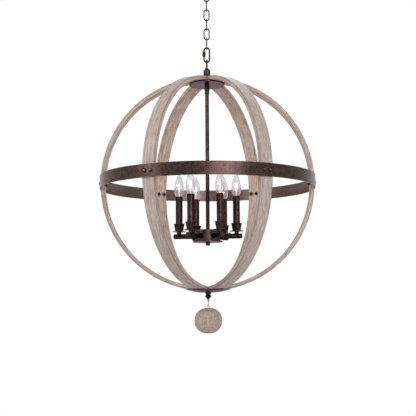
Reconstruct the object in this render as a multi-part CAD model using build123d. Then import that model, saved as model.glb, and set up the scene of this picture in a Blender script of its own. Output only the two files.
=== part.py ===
from build123d import *
from math import asin, atan2, cos, degrees, pi, radians, sin, sqrt
import os

# Orb chandelier. Millimetres, +Z up. The origin is on the ceiling, at the middle of the crossbar,
# and everything hangs below it. Levels named *_Z are heights, most of them worked out from the
# piece above, so that a change of one size carries everything below it along.

# ---------------------------------------------------------------- how finely round pieces are drawn
WIRE_FLATS = 8                  # drawn wire has this many flats, at its full width across them
BOW_STEPS = 8                   # steps in the half turn of a bent wire
TURNED_FLATS = 24               # small turned pieces, their corners at full size
LARGE_FLATS = 36                # canopy, discs, hub and dish, their corners at full size
CANDLE_FLATS = 8                # the repeated pieces of the candles, their corners at full size
BOLT_FLATS = 6
RIB_STEPS = 36                  # straight steps of a rib from pole to pole, an even number
BALL_STEPS = 12                 # steps of the ball's outline from pole to pole
DISH_STEPS = 5                  # steps of the dish's curve from its hole to its rim

# ---------------------------------------------------------------- canopy and its fixings
CANOPY_H = 25.0
CANOPY_ROOM = 10.3              # crossbar's end to the canopy's wall
CANOPY_WALL = 1.2
CANOPY_SHOULDER = 12.0          # how far the pressed shoulder comes in, and how far it drops
NIPPLE_D = 9.5
NIPPLE_BORE = 6.0
NIPPLE_SHORT = 0.3              # nipple's top below the ceiling
CROSSBAR_W = 20.0
CROSSBAR_T = 2.5
SLOT_SPACING = 88.9             # ceiling box screws, 3 1/2 in apart
SLOT_L = 9.0
SLOT_W = 4.6
SLOT_END = 3.05                 # bar left past a slot
COLLAR_D = 27.0
COLLAR_H = 6.0
NUT_AF = 14.3                   # lock nuts on the threaded tubes
NUT_H = 4.0

# ---------------------------------------------------------------- chain
RUN_GAP = 0.35                  # between wires that hang in each other
LINKS = 6
LINK_L = 41.2
LINK_W = 20.6
LINK_WIRE = 3.8
LOOP_L = 29.0                   # fixed loop under the canopy, below its hub
LOOP_W = 22.0
LOOP_WIRE = 5.0
LOOP_HUB_D = 17.0
LOOP_HUB_H = 8.0
LOOP_FLOOR = 2.0                # metal left under the hub's thread
QUICK_W = 23.2                  # threaded quick link, closed by a long nut
QUICK_WIRE = 5.2
QUICK_MOUTH = 5.0
QUICK_NUT_L = 19.0
QUICK_NUT_AF = 9.4
QUICK_NUT_INSET = 3.0           # closed nut below the end of the straight leg
QUICK_GRIP = 3.6                # thread that the closed nut takes on the far side of the mouth
THREAD_ROOM = 0.1
BELL_LOOP_L = 33.0
BELL_LOOP_W = 22.0
BELL_LOOP_WIRE = 6.0

# ---------------------------------------------------------------- orb
ORB_H = 711.0                   # over the wood, pole to pole
BAND_D = 711.2                  # over the steel band, 28 in
BAND_H = 41.0
BAND_T = 2.5
RIBS = 6
RIB_W = 43.0
RIB_T = 13.0
MITRE_GAP = 0.1                 # glue line between the mitred tips
SEAT = 0.05                     # room left where two faces meet
BOLT_SPACING = 21.0
BOLT_D = 6.0
BOLT_HEAD_D = 12.4
BOLT_HEAD_H = 3.8
BOLT_NUT_AF = 10.4
BOLT_NUT_T = 5.0
BOLT_PROUD = 2.0
POLE_ROOM = 0.45                # round the loop's shank in the wood

# ---------------------------------------------------------------- top of the orb and the stem
CAP_D = 23.0
CAP_H = 27.0
CAP_FLARE = 3.0
CAP_WASHER_D = 38.0
CAP_WASHER_T = 2.0
DISC_D = 118.0
DISC_T = 5.0
COUPLING_D = 16.0
COUPLING_GAP = 5.0              # between the two rods inside the coupling
THREAD_GRIP = 12.0              # how far each rod runs into the coupling
STEM_D = 12.7
STEM_BORE = 6.0

# ---------------------------------------------------------------- hub and arms
HUB_DROP = 154.0                # from the band's mid height down to the hub
HUB_D = 82.0
HUB_H = 37.0
HUB_WALL = 2.2
HUB_SHOULDER = 4.0              # drop of the drum's turned shoulder
COVER_D = 97.0
COVER_T = 4.6
KNOB_D = 15.0
KNOB_H = 11.0
CANDLES = 6
CANDLE_R = 95.0
CANDLE_TURN = -5.0              # the cluster stands turned a little from the ribs, degrees
ARM_D = 16.5
ARM_DROP = 3.2                  # arms' axis below the hub's middle
ARM_WALL = 1.8
ARM_INSIDE = 7.0                # arm inside the hub's wall
ARM_TAIL = 16.0                 # arm past the candle
ARM_CAP_T = 2.4
ARM_SPIGOT = 5.0

# ---------------------------------------------------------------- candles and lamps
POST_D = 10.0
POST_BORE = 6.0
POST_COLLAR_D = 15.0
POST_COLLAR_H = 7.2
DRIP_D = 47.5
DRIP_T = 1.4
CUP_ROOM = 0.5                  # round the sleeve's foot
CUP_FLARE = 4.0
CUP_LIP = 1.2
CUP_H = 25.0
CUP_WALL = 1.5
SLEEVE_D = 23.0
SLEEVE_WALL = 1.3
SLEEVE_L = 114.0
SOCKET_DROP = 9.0               # socket's top below the sleeve's top
SOCKET_ROOM = 0.4               # round the socket in its sleeve
SOCKET_H = 34.0
SHELL_WALL = 0.6
SHELL_INSET = 1.0               # shell's rim below the socket's top
SHELL_LIFT = 3.5                # shell's foot over the centre contact
LAMP_BASE_D = 11.9              # E12 candelabra base
LAMP_BASE_H = 17.0
LAMP_FIT = 0.1
LAMP_TIP_D = 5.0
LAMP_TIP_H = 2.4
CONTACT_T = 0.9
GLASS_STAND = 0.3               # glass over the socket's top
GLASS_D = 31.75                 # torpedo lamp, 1 1/4 in
GLASS_L = 89.0
GLASS_WALL = 0.8
GLASS_ROOM = 1.0                # between the glass and the sleeve's rim
GLASS_OUTLINE = (               # over the sleeve: share of the length, share of the half width
    (0.22, 0.88),
    (0.36, 1.0),
    (0.52, 0.95),
    (0.70, 0.71),
    (0.93, 0.25),
)

# ---------------------------------------------------------------- bottom dish, finial and ball
DISH_D = 152.0
DISH_DEPTH = 12.0
DISH_T = 2.0
STUD_D = 6.0
STUD_ROOM = 0.2
STUD_L = 11.0                   # stud inside the wood
FINIAL_NECK_D = 19.0
FINIAL_BEAD_D = 21.0
FINIAL_L = 20.0
FINIAL_EYE_D = 6.8
FINIAL_EYE_T = 2.2
FINIAL_EYE_SINK = 0.8           # eye run into the cone over it
FINIAL_HOLE_D = 3.0
HOOK_WIRE = 2.0
HOOK_R = 4.0                    # to the wire's middle
HOOK_DROP = 12.0                # between the middles of the hook's two bends
HOOK_SWEEP = 257.0
EYE_WIRE = 2.2
EYE_R = 3.5
EYE_SHANK = 15.0
BALL_D = 89.5
BALL_H = 83.0

# ================================================================ sizes and levels that follow
CROSSBAR_L = SLOT_SPACING + SLOT_L + 2 * SLOT_END
CANOPY_D = CROSSBAR_L + 2 * (CANOPY_ROOM + CANOPY_WALL)
NIPPLE_HOLE = NIPPLE_D + 2 * SEAT
COLLAR_Z = -CANOPY_H
LOOP_HUB_Z = COLLAR_Z - COLLAR_H
LOOP_TOP_Z = LOOP_HUB_Z - LOOP_HUB_H


def next_wire(low_z, wire, next_wire_d):
    """Height of the next wire's middle, hung in a bow whose own middle is at low_z."""
    return low_z + wire / 2 + next_wire_d / 2 + RUN_GAP


LOOP_LOW_Z = LOOP_TOP_Z - LOOP_L + LOOP_WIRE / 2
LINK_TOP_Z = []
LINK_LOW_Z = []
_low, _wire = LOOP_LOW_Z, LOOP_WIRE
for _i in range(LINKS):
    LINK_TOP_Z.append(next_wire(_low, _wire, LINK_WIRE))
    LINK_LOW_Z.append(LINK_TOP_Z[-1] - (LINK_L - LINK_WIRE))
    _low, _wire = LINK_LOW_Z[-1], LINK_WIRE
QUICK_BOW_R = (QUICK_W - QUICK_WIRE) / 2
QUICK_NUT_TRAVEL = QUICK_MOUTH + QUICK_GRIP + 2 * THREAD_ROOM
QUICK_TOP_Z = next_wire(LINK_LOW_Z[-1], LINK_WIRE, QUICK_WIRE)
QUICK_NUT_TOP_Z = QUICK_TOP_Z - QUICK_BOW_R - QUICK_NUT_INSET
QUICK_NUT_LOW_Z = QUICK_NUT_TOP_Z - QUICK_NUT_L
QUICK_LOW_Z = QUICK_NUT_LOW_Z - QUICK_NUT_TRAVEL - RUN_GAP - QUICK_BOW_R
BELL_TOP_Z = next_wire(QUICK_LOW_Z, QUICK_WIRE, BELL_LOOP_WIRE)
BELL_LOW_Z = BELL_TOP_Z - (BELL_LOOP_L - BELL_LOOP_WIRE)
CAP_TOP_Z = BELL_LOW_Z - BELL_LOOP_WIRE
CAP_LOW_Z = CAP_TOP_Z - CAP_H
WOOD_TOP_Z = CAP_LOW_Z - CAP_WASHER_T - SEAT
ORB_Z = WOOD_TOP_Z - ORB_H / 2

# The rib's outline: half an ellipse, as wide as the band allows and as high as the orb.
BAND_R = BAND_D / 2
BAND_IN = BAND_R - BAND_T
RIB_RX = sqrt((BAND_IN - SEAT) ** 2 - (RIB_W / 2) ** 2)
RIB_RZ = ORB_H / 2
RIB_IX = RIB_RX - RIB_T
RIB_IZ = RIB_RZ - RIB_T


def wood_height(rho, rx, rz):
    """Height over the orb's middle, rho from the axis, of the steps that touch an ellipse."""
    touches = [pi / RIB_STEPS * k for k in range(1, RIB_STEPS // 2 + 1)]
    return min(rz * (1 - rho / rx * cos(t)) / sin(t) for t in touches)


DISC_TOP_Z = ORB_Z + wood_height(DISC_D / 2, RIB_IX, RIB_IZ) - SEAT
DISC_LOW_Z = DISC_TOP_Z - DISC_T
COUPLING_LOW_Z = DISC_LOW_Z - 2 * THREAD_GRIP - COUPLING_GAP
HUB_TOP_Z = ORB_Z - HUB_DROP
HUB_ROOF_Z = HUB_TOP_Z - HUB_SHOULDER - HUB_WALL
COVER_Z = HUB_TOP_Z - HUB_H
KNOB_Z = COVER_Z - COVER_T
ARM_Z = HUB_TOP_Z - HUB_H / 2 - ARM_DROP
ARM_END = CANDLE_R + ARM_TAIL
POST_SEAT_Z = ARM_Z + ARM_D / 2
DRIP_Z = POST_SEAT_Z + POST_COLLAR_H
CUP_Z = DRIP_Z + DRIP_T
SLEEVE_Z = CUP_Z + CUP_WALL
SLEEVE_TOP_Z = SLEEVE_Z + SLEEVE_L
SLEEVE_BORE = SLEEVE_D - 2 * SLEEVE_WALL
SOCKET_TOP_Z = SLEEVE_TOP_Z - SOCKET_DROP
SOCKET_Z = SOCKET_TOP_Z - SOCKET_H
GLASS_Z = SOCKET_TOP_Z + GLASS_STAND
LAMP_BASE_Z = GLASS_Z - LAMP_BASE_H
LAMP_TIP_Z = LAMP_BASE_Z - LAMP_TIP_H
SOCKET_FLOOR_Z = LAMP_TIP_Z - SEAT - CONTACT_T
SHELL_BORE = LAMP_BASE_D + 2 * LAMP_FIT
SHELL_D = SHELL_BORE + 2 * SHELL_WALL

# The dish's rim bears on the ribs' edges, just inside its own rim.
DISH_R = DISH_D / 2
DISH_BALL_R = (DISH_R**2 + DISH_DEPTH**2) / (2 * DISH_DEPTH)
DISH_RIM_IN = sqrt((DISH_BALL_R - DISH_T) ** 2 - (DISH_BALL_R - DISH_DEPTH) ** 2)
RIM_EDGE = sqrt((DISH_RIM_IN * cos(pi / LARGE_FLATS)) ** 2 - (RIB_W / 2) ** 2)
DISH_RIM_Z = ORB_Z - wood_height(RIM_EDGE, RIB_RX, RIB_RZ) - SEAT
DISH_LOW_Z = DISH_RIM_Z - DISH_DEPTH
DISH_MID_Z = DISH_LOW_Z + DISH_BALL_R
FINIAL_Z = DISH_LOW_Z - SEAT
STUD_HOLE_D = STUD_D + 2 * STUD_ROOM
FINIAL_EYE_Z = FINIAL_Z - FINIAL_L - FINIAL_EYE_D / 2 + FINIAL_EYE_SINK
HOOK_TOP_Z = FINIAL_EYE_Z - HOOK_R
HOOK_LOW_Z = HOOK_TOP_Z - HOOK_DROP
HOOK_BOW_Z = HOOK_LOW_Z - HOOK_R
EYE_Z = next_wire(HOOK_BOW_Z, HOOK_WIRE, EYE_WIRE) - EYE_R
BALL_TOP_Z = EYE_Z - EYE_R - EYE_WIRE / 2
BALL_Z = BALL_TOP_Z - BALL_H / 2


# ================================================================ ways of making
def turned(*points, flats=0):
    """A turned piece from its outline of (radius, height) pairs; with flats, it has that many sides."""
    if not flats:
        return revolve(make_face(Plane.XZ * Polyline(*points, close=True)), Axis.Z, 360)
    sides = []
    for k in range(flats):
        a, b = 2 * pi * k / flats, 2 * pi * (k + 1) / flats
        for (r, z), (r2, z2) in zip(points, points[1:] + points[:1]):
            corners = [(r * cos(a), r * sin(a), z), (r2 * cos(a), r2 * sin(a), z2)]
            corners += [(r2 * cos(b), r2 * sin(b), z2)] * (r2 > 0) + [(r * cos(b), r * sin(b), z)] * (r > 0)
            if len(corners) > 2:
                sides.append(Face(Wire.make_polygon(corners)))
    return Solid(Shell(sides)).clean()


def round_bar(d, z_low, z_high, flats=0):
    """A plain bar on the axis between two heights."""
    return turned((0, z_low), (d / 2, z_low), (d / 2, z_high), (0, z_high), flats=flats)


def tube(d, bore, z_low, z_high, flats=0):
    """A tube on the axis between two heights."""
    return turned((bore / 2, z_low), (d / 2, z_low), (d / 2, z_high), (bore / 2, z_high), flats=flats)


def nut(across, height, hole, z_low, sides=6, flats=0):
    """A hexagon or square nut on the axis."""
    body = extrude(RegularPolygon(across / 2, sides, major_radius=False), height)
    return Pos(0, 0, z_low) * (body - round_bar(hole, -1, height + 1, flats))


def wire_section(wire):
    """The wire's section, with a flat towards the wire that it meets."""
    return RegularPolygon(wire / 2, WIRE_FLATS, major_radius=False, rotation=180 / WIRE_FLATS)


def bow(middle, r, start, turn):
    """Corners of a bent wire's middle line, drawn in straight steps that touch its circle."""
    steps = round(BOW_STEPS * abs(turn) / 180)
    step = radians(turn / steps)
    reach = r / cos(step / 2)
    angles = [radians(start) + step * (k + 0.5) for k in range(steps)]
    return [(middle[0] + reach * cos(a), middle[1] + reach * sin(a)) for a in angles]


def closed_link(top_z, low_z, width, wire, edge_on):
    """A welded oval link between two wire middles, face on (in XZ) or edge on (in YZ)."""
    r = (width - wire) / 2
    weld = (r, (top_z + low_z) / 2)
    bends = bow((0, top_z - r), r, 0, 180) + bow((0, low_z + r), r, 180, 180)
    path = Plane.XZ * Polyline(weld, *bends, close=True)
    section = Plane(path @ 0, (1, 0, 0), (0, 0, 1)) * wire_section(wire)
    link = sweep(section, path, transition=Transition.RIGHT)
    return Rot(0, 0, 90) * link if edge_on else link


def around(piece, count, turn=0.0):
    """Copies of a piece, evenly spaced round the axis."""
    return Compound(children=[Rot(0, 0, turn + 360 / count * i) * piece for i in range(count)])


def facing(angle, z):
    """A plane on the axis at height z, whose own z points outwards at an angle."""
    a = radians(angle)
    return Plane((0, 0, z), (-sin(a), cos(a), 0), (cos(a), sin(a), 0))


def save(name, shape):
    """One file for each node."""
    shape.label = name
    export_step(shape, f"parts/{name}.step")


# ================================================================ canopy
def canopy():
    """Pressed steel pan: skirt, shoulder in two breaks, flat bottom with the nipple's hole."""
    r = CANOPY_D / 2
    s = CANOPY_SHOULDER
    h = CANOPY_H
    t = CANOPY_WALL
    hole = NIPPLE_D / 2 + SEAT
    outside = [(r, 0), (r, s - h), (r - 0.3 * s, 0.3 * s - h), (r - s, -h), (hole, -h)]
    inside = [(hole, t - h), (r - s, t - h), (r - t - 0.3 * s, 0.4 * t + 0.3 * s - h)]
    inside += [(r - t, s - h), (r - t, 0)]
    return turned(*outside, *inside, flats=LARGE_FLATS)


def crossbar():
    """Steel strap against the ceiling box: two slots, and the nipple's hole in the middle."""
    bar = extrude(Rectangle(CROSSBAR_L, CROSSBAR_W), -CROSSBAR_T)
    cut = [Pos(x, 0) * SlotOverall(SLOT_L, SLOT_W) for x in (-SLOT_SPACING / 2, SLOT_SPACING / 2)]
    cut.append(Circle(NIPPLE_D / 2 + SEAT))
    bar -= extrude(Sketch() + cut, 2 * CROSSBAR_T, both=True)
    ends = bar.edges().filter_by(Axis.Z).sort_by(Axis.X)
    return chamfer(ends[:2] + ends[-2:], CROSSBAR_W / 5)


def canopy_loop():
    """Fixed loop: an oval eye, edge on, under a round hub that takes the nipple."""
    eye = closed_link(LOOP_TOP_Z, LOOP_LOW_Z, LOOP_W, LOOP_WIRE, True)
    hub = turned(
        (0, LOOP_HUB_Z),
        (LOOP_HUB_D / 2, LOOP_HUB_Z),
        (LOOP_HUB_D / 2, LOOP_TOP_Z + LOOP_FLOOR),
        (LOOP_HUB_D / 2 - LOOP_FLOOR, LOOP_TOP_Z),
        (0, LOOP_TOP_Z),
        flats=TURNED_FLATS,
    )
    bore = round_bar(NIPPLE_HOLE, LOOP_TOP_Z + LOOP_WIRE / 2, LOOP_HUB_Z + 1, TURNED_FLATS)
    return eye + hub - bore


def make_canopy():
    save("canopy", canopy())
    save("crossbar", crossbar())
    save("crossbar_nut", nut(NUT_AF, NUT_H, NIPPLE_HOLE, -CROSSBAR_T - NUT_H, 6, TURNED_FLATS))
    nipple_low = LOOP_TOP_Z + LOOP_WIRE / 2 + SEAT
    save("canopy_nipple", tube(NIPPLE_D, NIPPLE_BORE, nipple_low, -NIPPLE_SHORT, TURNED_FLATS))
    bevel = COLLAR_H / 4
    save(
        "canopy_collar",
        turned(
            (NIPPLE_HOLE / 2, COLLAR_Z),
            (COLLAR_D / 2, COLLAR_Z),
            (COLLAR_D / 2, LOOP_HUB_Z + bevel),
            (COLLAR_D / 2 - bevel, LOOP_HUB_Z),
            (NIPPLE_HOLE / 2, LOOP_HUB_Z),
            flats=TURNED_FLATS,
        ),
    )
    save("canopy_loop", canopy_loop())


# ================================================================ chain
def quick_link():
    """Oval link with an open mouth in its left leg, which the long nut closes."""
    link = closed_link(QUICK_TOP_Z, QUICK_LOW_Z, QUICK_W, QUICK_WIRE, False)
    leg = Pos(-QUICK_BOW_R, 0, 0)
    low = QUICK_NUT_LOW_Z - QUICK_NUT_TRAVEL
    high = QUICK_NUT_TOP_Z + THREAD_ROOM
    wide = 2 * QUICK_WIRE
    block = Pos(0, 0, (low + high) / 2) * Box(wide, wide, high - low)
    mouth = Pos(0, 0, QUICK_NUT_TOP_Z - QUICK_GRIP - QUICK_MOUTH / 2) * Box(wide, wide, QUICK_MOUTH)
    return link - leg * block + leg * (round_bar(QUICK_WIRE, low, high, TURNED_FLATS) - mouth)


def quick_link_nut():
    """Long hexagon nut with a round collar at each end, threaded on the link's leg."""
    collar = QUICK_NUT_L / 6
    hexagon = extrude(RegularPolygon(QUICK_NUT_AF / 2, 6, major_radius=False), QUICK_NUT_L - 2 * collar)
    body = Pos(0, 0, QUICK_NUT_LOW_Z + collar) * hexagon
    body += round_bar(0.86 * QUICK_NUT_AF, QUICK_NUT_LOW_Z, QUICK_NUT_TOP_Z, TURNED_FLATS)
    body -= round_bar(QUICK_WIRE + 2 * THREAD_ROOM, QUICK_NUT_LOW_Z - 1, QUICK_NUT_TOP_Z + 1, TURNED_FLATS)
    return Pos(-QUICK_BOW_R, 0, 0) * body


def make_chain():
    for i in range(LINKS):
        link = closed_link(LINK_TOP_Z[i], LINK_LOW_Z[i], LINK_W, LINK_WIRE, i % 2 == 1)
        save(f"chain_link_{i + 1}", link)
    save("quick_link", quick_link())
    save("quick_link_nut", quick_link_nut())


# ================================================================ orb
def half_orb(rx, rz):
    """Corners of half an ellipse, pole to pole, drawn in steps that touch it at the poles and the band."""
    step = pi / RIB_STEPS
    sides = [(rx * sin(step * (k + 0.5)), rz * cos(step * (k + 0.5))) for k in range(RIB_STEPS)]
    return [(0, rz)] + [(x / cos(step / 2), z / cos(step / 2)) for x, z in sides] + [(0, -rz)]


def rib():
    """One bent-wood rib from pole to pole: a flat strip, its tips mitred against its neighbours."""
    outline = Polyline(*half_orb(RIB_RX, RIB_RZ), *reversed(half_orb(RIB_IX, RIB_IZ)), close=True)
    strip = extrude(make_face(Plane.XZ * outline), RIB_W / 2, both=True)
    half = pi / RIBS
    apex = MITRE_GAP / 2 / sin(half)
    far = BAND_D
    reach = (far - apex) * sin(half) / cos(half)
    wedge = make_face(Polyline((apex, 0), (far, reach), (far, -reach), close=True))
    strip &= extrude(wedge, ORB_H, both=True)
    strip -= round_bar(NIPPLE_D + 2 * POLE_ROOM, 0, ORB_H)
    strip -= round_bar(STUD_HOLE_D, -ORB_H, 0)
    for side in (-BOLT_SPACING / 2, BOLT_SPACING / 2):
        strip -= facing(0, 0) * Pos(side, 0, 0) * round_bar(BOLT_D + 2 * SEAT, 0, BAND_D, BOLT_FLATS)
    return Pos(0, 0, ORB_Z) * strip


def band():
    """Rolled steel strip, welded into a ring, with a pair of bolt holes at each rib."""
    ring = tube(BAND_D, 2 * BAND_IN, ORB_Z - BAND_H / 2, ORB_Z + BAND_H / 2)
    hole = round_bar(BOLT_D + 2 * SEAT, -BAND_R / 4, BAND_T, BOLT_FLATS)
    return ring - at_bolts(hole, 0).solids()


def band_bolt():
    """Domed bolt along +Z, the band's outer face at zero, its end through the nut."""
    r = BOLT_HEAD_D / 2
    end = RIB_IX - BAND_R - BOLT_NUT_T - BOLT_PROUD
    return turned(
        (0, BOLT_HEAD_H),
        (0.6 * r, 0.8 * BOLT_HEAD_H),
        (r, 0),
        (BOLT_D / 2, 0),
        (BOLT_D / 2, end),
        (0, end),
        flats=BOLT_FLATS,
    )


def at_bolts(piece, depth):
    """A piece at each of the band's bolts, its zero this deep inside the band's face."""
    pair = [Pos(side, 0, BAND_R - depth) * piece for side in (-BOLT_SPACING / 2, BOLT_SPACING / 2)]
    return Compound(children=[facing(360 / RIBS * i, ORB_Z) * one for i in range(RIBS) for one in pair])


def make_orb():
    one = rib()
    for i in range(RIBS):
        save(f"rib_{i + 1}", Rot(0, 0, 360 / RIBS * i) * one)
    save("band", band())
    save("band_bolts", at_bolts(band_bolt(), 0))
    square = nut(BOLT_NUT_AF, BOLT_NUT_T, BOLT_D + 2 * SEAT, -BOLT_NUT_T, 4, BOLT_FLATS)
    save("band_nuts", at_bolts(square, BAND_R - RIB_IX + SEAT))


# ================================================================ crown, disc and stem
def bell_loop():
    """Hanging loop: an oval eye, edge on, on a collar, with a threaded shank down to the coupling."""
    eye = closed_link(BELL_TOP_Z, BELL_LOW_Z, BELL_LOOP_W, BELL_LOOP_WIRE, True)
    collar = round_bar(2 * BELL_LOOP_WIRE, CAP_TOP_Z, BELL_LOW_Z, TURNED_FLATS)
    shank = round_bar(NIPPLE_D, DISC_LOW_Z - THREAD_GRIP, CAP_TOP_Z + 1, TURNED_FLATS)
    return eye + collar + shank


def bell_cap():
    """Turned cap over the crossing, rounded at the shoulder and flared at its foot."""
    r = CAP_D / 2
    hole = NIPPLE_HOLE / 2
    return turned(
        (hole, CAP_TOP_Z),
        (0.72 * r, CAP_TOP_Z),
        (r, CAP_TOP_Z - 0.16 * CAP_H),
        (r, CAP_LOW_Z + 0.3 * CAP_H),
        (r + 0.4 * CAP_FLARE, CAP_LOW_Z + 0.08 * CAP_H),
        (r + CAP_FLARE, CAP_LOW_Z),
        (hole, CAP_LOW_Z),
        flats=TURNED_FLATS,
    )


def top_disc():
    """Round steel disc that draws the six mitred ribs up against the crown."""
    return tube(DISC_D, NIPPLE_HOLE, DISC_LOW_Z, DISC_TOP_Z, LARGE_FLATS)


def stem():
    """Stem tube with a threaded end at the coupling and a longer one through the hub."""
    bore = STEM_BORE / 2
    thread = NIPPLE_D / 2
    low = KNOB_Z - 0.7 * KNOB_H
    return turned(
        (bore, COUPLING_LOW_Z + THREAD_GRIP),
        (thread, COUPLING_LOW_Z + THREAD_GRIP),
        (thread, COUPLING_LOW_Z - SEAT),
        (STEM_D / 2, COUPLING_LOW_Z - SEAT),
        (STEM_D / 2, HUB_TOP_Z + SEAT),
        (thread, HUB_TOP_Z + SEAT),
        (thread, low),
        (bore, low),
        flats=TURNED_FLATS,
    )


def make_stem():
    save("bell_loop", bell_loop())
    save("bell_cap", bell_cap())
    low = CAP_LOW_Z - CAP_WASHER_T
    save("cap_washer", tube(CAP_WASHER_D, NIPPLE_HOLE, low, CAP_LOW_Z - SEAT, TURNED_FLATS))
    save("top_disc", top_disc())
    save("stem_coupling", tube(COUPLING_D, NIPPLE_HOLE, COUPLING_LOW_Z, DISC_LOW_Z - SEAT, TURNED_FLATS))
    save("stem", stem())


# ================================================================ hub and arms
def hub():
    """Turned drum, open below, with a hole in its wall for each arm."""
    r = HUB_D / 2
    hole = NIPPLE_HOLE / 2
    drum = turned(
        (hole, HUB_TOP_Z),
        (r - 1.5 * HUB_SHOULDER, HUB_TOP_Z),
        (r, HUB_TOP_Z - HUB_SHOULDER),
        (r, COVER_Z),
        (r - HUB_WALL, COVER_Z),
        (r - HUB_WALL, HUB_ROOF_Z),
        (hole, HUB_ROOF_Z),
        flats=LARGE_FLATS,
    )
    way = Pos(0, 0, ARM_Z) * Rot(0, 90, 0) * round_bar(ARM_D + 2 * SEAT, r / 2, HUB_D, CANDLE_FLATS)
    return drum - around(way, CANDLES, CANDLE_TURN).solids()


def arm():
    """Straight tube out along +X from inside the hub, drilled above for the candle's post."""
    start = HUB_D / 2 - HUB_WALL - ARM_INSIDE
    body = Pos(0, 0, ARM_Z) * Rot(0, 90, 0) * tube(ARM_D, ARM_D - 2 * ARM_WALL, start, ARM_END, CANDLE_FLATS)
    return body - Pos(CANDLE_R, 0, 0) * round_bar(POST_D + 2 * SEAT, ARM_Z, POST_SEAT_Z + 1, CANDLE_FLATS)


def arm_cap():
    """End plug along +X: a disc with a raised button, on a spigot inside the arm."""
    bore = ARM_D / 2 - ARM_WALL - SEAT
    plug = turned(
        (0, -ARM_SPIGOT),
        (bore, -ARM_SPIGOT),
        (bore, 0),
        (ARM_D / 2, 0),
        (ARM_D / 2, ARM_CAP_T),
        (ARM_D * 0.2, ARM_CAP_T),
        (0, ARM_CAP_T * 1.4),
        flats=CANDLE_FLATS,
    )
    return Pos(ARM_END + SEAT, 0, ARM_Z) * Rot(0, 90, 0) * plug


def hub_knob():
    """Round knob on the end of the stem, its lower edge eased, blind bored."""
    ease = KNOB_D / 8
    return turned(
        (NIPPLE_HOLE / 2, KNOB_Z - SEAT),
        (KNOB_D / 2, KNOB_Z - SEAT),
        (KNOB_D / 2, KNOB_Z - KNOB_H + ease),
        (KNOB_D / 2 - ease, KNOB_Z - KNOB_H),
        (0, KNOB_Z - KNOB_H),
        (0, KNOB_Z - 0.8 * KNOB_H),
        (NIPPLE_HOLE / 2, KNOB_Z - 0.8 * KNOB_H),
        flats=TURNED_FLATS,
    )


def make_hub():
    save("hub", hub())
    save("hub_nut", nut(NUT_AF, NUT_H, NIPPLE_HOLE, HUB_ROOF_Z - SEAT - NUT_H, 6, TURNED_FLATS))
    save("hub_cover", tube(COVER_D, NIPPLE_HOLE, KNOB_Z, COVER_Z - SEAT, LARGE_FLATS))
    save("hub_knob", hub_knob())
    save("arms", around(arm(), CANDLES, CANDLE_TURN))
    save("arm_caps", around(arm_cap(), CANDLES, CANDLE_TURN))


# ================================================================ candles
def post():
    """Threaded tube up from the arm to the socket, with the collar that the drip pan sits on."""
    return turned(
        (POST_BORE / 2, ARM_Z),
        (POST_D / 2, ARM_Z),
        (POST_D / 2, POST_SEAT_Z + SEAT),
        (POST_COLLAR_D / 2, POST_SEAT_Z + SEAT),
        (POST_COLLAR_D / 2, DRIP_Z - SEAT),
        (POST_D / 2, DRIP_Z - SEAT),
        (POST_D / 2, SOCKET_Z - SEAT),
        (POST_BORE / 2, SOCKET_Z - SEAT),
        flats=CANDLE_FLATS,
    )


def candle_cup():
    """Flared cup with a turned-out lip, bored for the post."""
    base = SLEEVE_D / 2 + CUP_ROOM + CUP_WALL
    rim = base + CUP_FLARE
    top = CUP_Z + CUP_H
    return turned(
        (POST_D / 2 + SEAT, CUP_Z),
        (base, CUP_Z),
        (rim, top - CUP_LIP),
        (rim + CUP_LIP, top - CUP_LIP / 2),
        (rim + CUP_LIP, top),
        (rim - CUP_WALL, top),
        (base - CUP_WALL, SLEEVE_Z),
        (POST_D / 2 + SEAT, SLEEVE_Z),
        flats=CANDLE_FLATS,
    )


def socket_body():
    """Moulded candelabra socket, bored for its screw shell."""
    r = SLEEVE_BORE / 2 - SOCKET_ROOM
    bore = SHELL_D / 2 + SEAT
    return turned(
        (0, SOCKET_Z),
        (r, SOCKET_Z),
        (r, SOCKET_TOP_Z),
        (bore, SOCKET_TOP_Z),
        (bore, SOCKET_FLOOR_Z),
        (0, SOCKET_FLOOR_Z),
        flats=CANDLE_FLATS,
    )


def socket_shell():
    """Brass screw shell inside the socket."""
    low = SOCKET_FLOOR_Z + CONTACT_T + SHELL_LIFT
    return tube(SHELL_D, SHELL_BORE, low, SOCKET_TOP_Z - SHELL_INSET, CANDLE_FLATS)


def make_candles():
    def six(name, piece):
        save(name, around(Pos(CANDLE_R, 0, 0) * piece, CANDLES, CANDLE_TURN))

    bore = POST_D + 2 * SEAT
    six("candle_posts", post())
    six("drip_pans", tube(DRIP_D, bore, DRIP_Z, CUP_Z - SEAT, CANDLE_FLATS))
    six("candle_cups", candle_cup())
    six("candle_sleeves", tube(SLEEVE_D, SLEEVE_BORE, SLEEVE_Z + SEAT, SLEEVE_TOP_Z, CANDLE_FLATS))
    six("socket_bodies", socket_body())
    six("socket_shells", socket_shell())
    contact = round_bar(LAMP_TIP_D, SOCKET_FLOOR_Z, SOCKET_FLOOR_Z + CONTACT_T, CANDLE_FLATS)
    six("socket_contacts", contact)


# ================================================================ lamps
def lamp_glass():
    """Hollow torpedo envelope, open at its neck."""
    outside = [(LAMP_BASE_D / 2, GLASS_Z), (SLEEVE_BORE / 2 - GLASS_ROOM, SLEEVE_TOP_Z)]
    outside += [(wide * GLASS_D / 2, GLASS_Z + along * GLASS_L) for along, wide in GLASS_OUTLINE]
    inside = [(r - GLASS_WALL, z) for r, z in outside]
    tips = [(0, GLASS_Z + GLASS_L), (0, GLASS_Z + GLASS_L - 2 * GLASS_WALL)]
    return turned(*outside, *tips, *reversed(inside), flats=CANDLE_FLATS)


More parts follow.
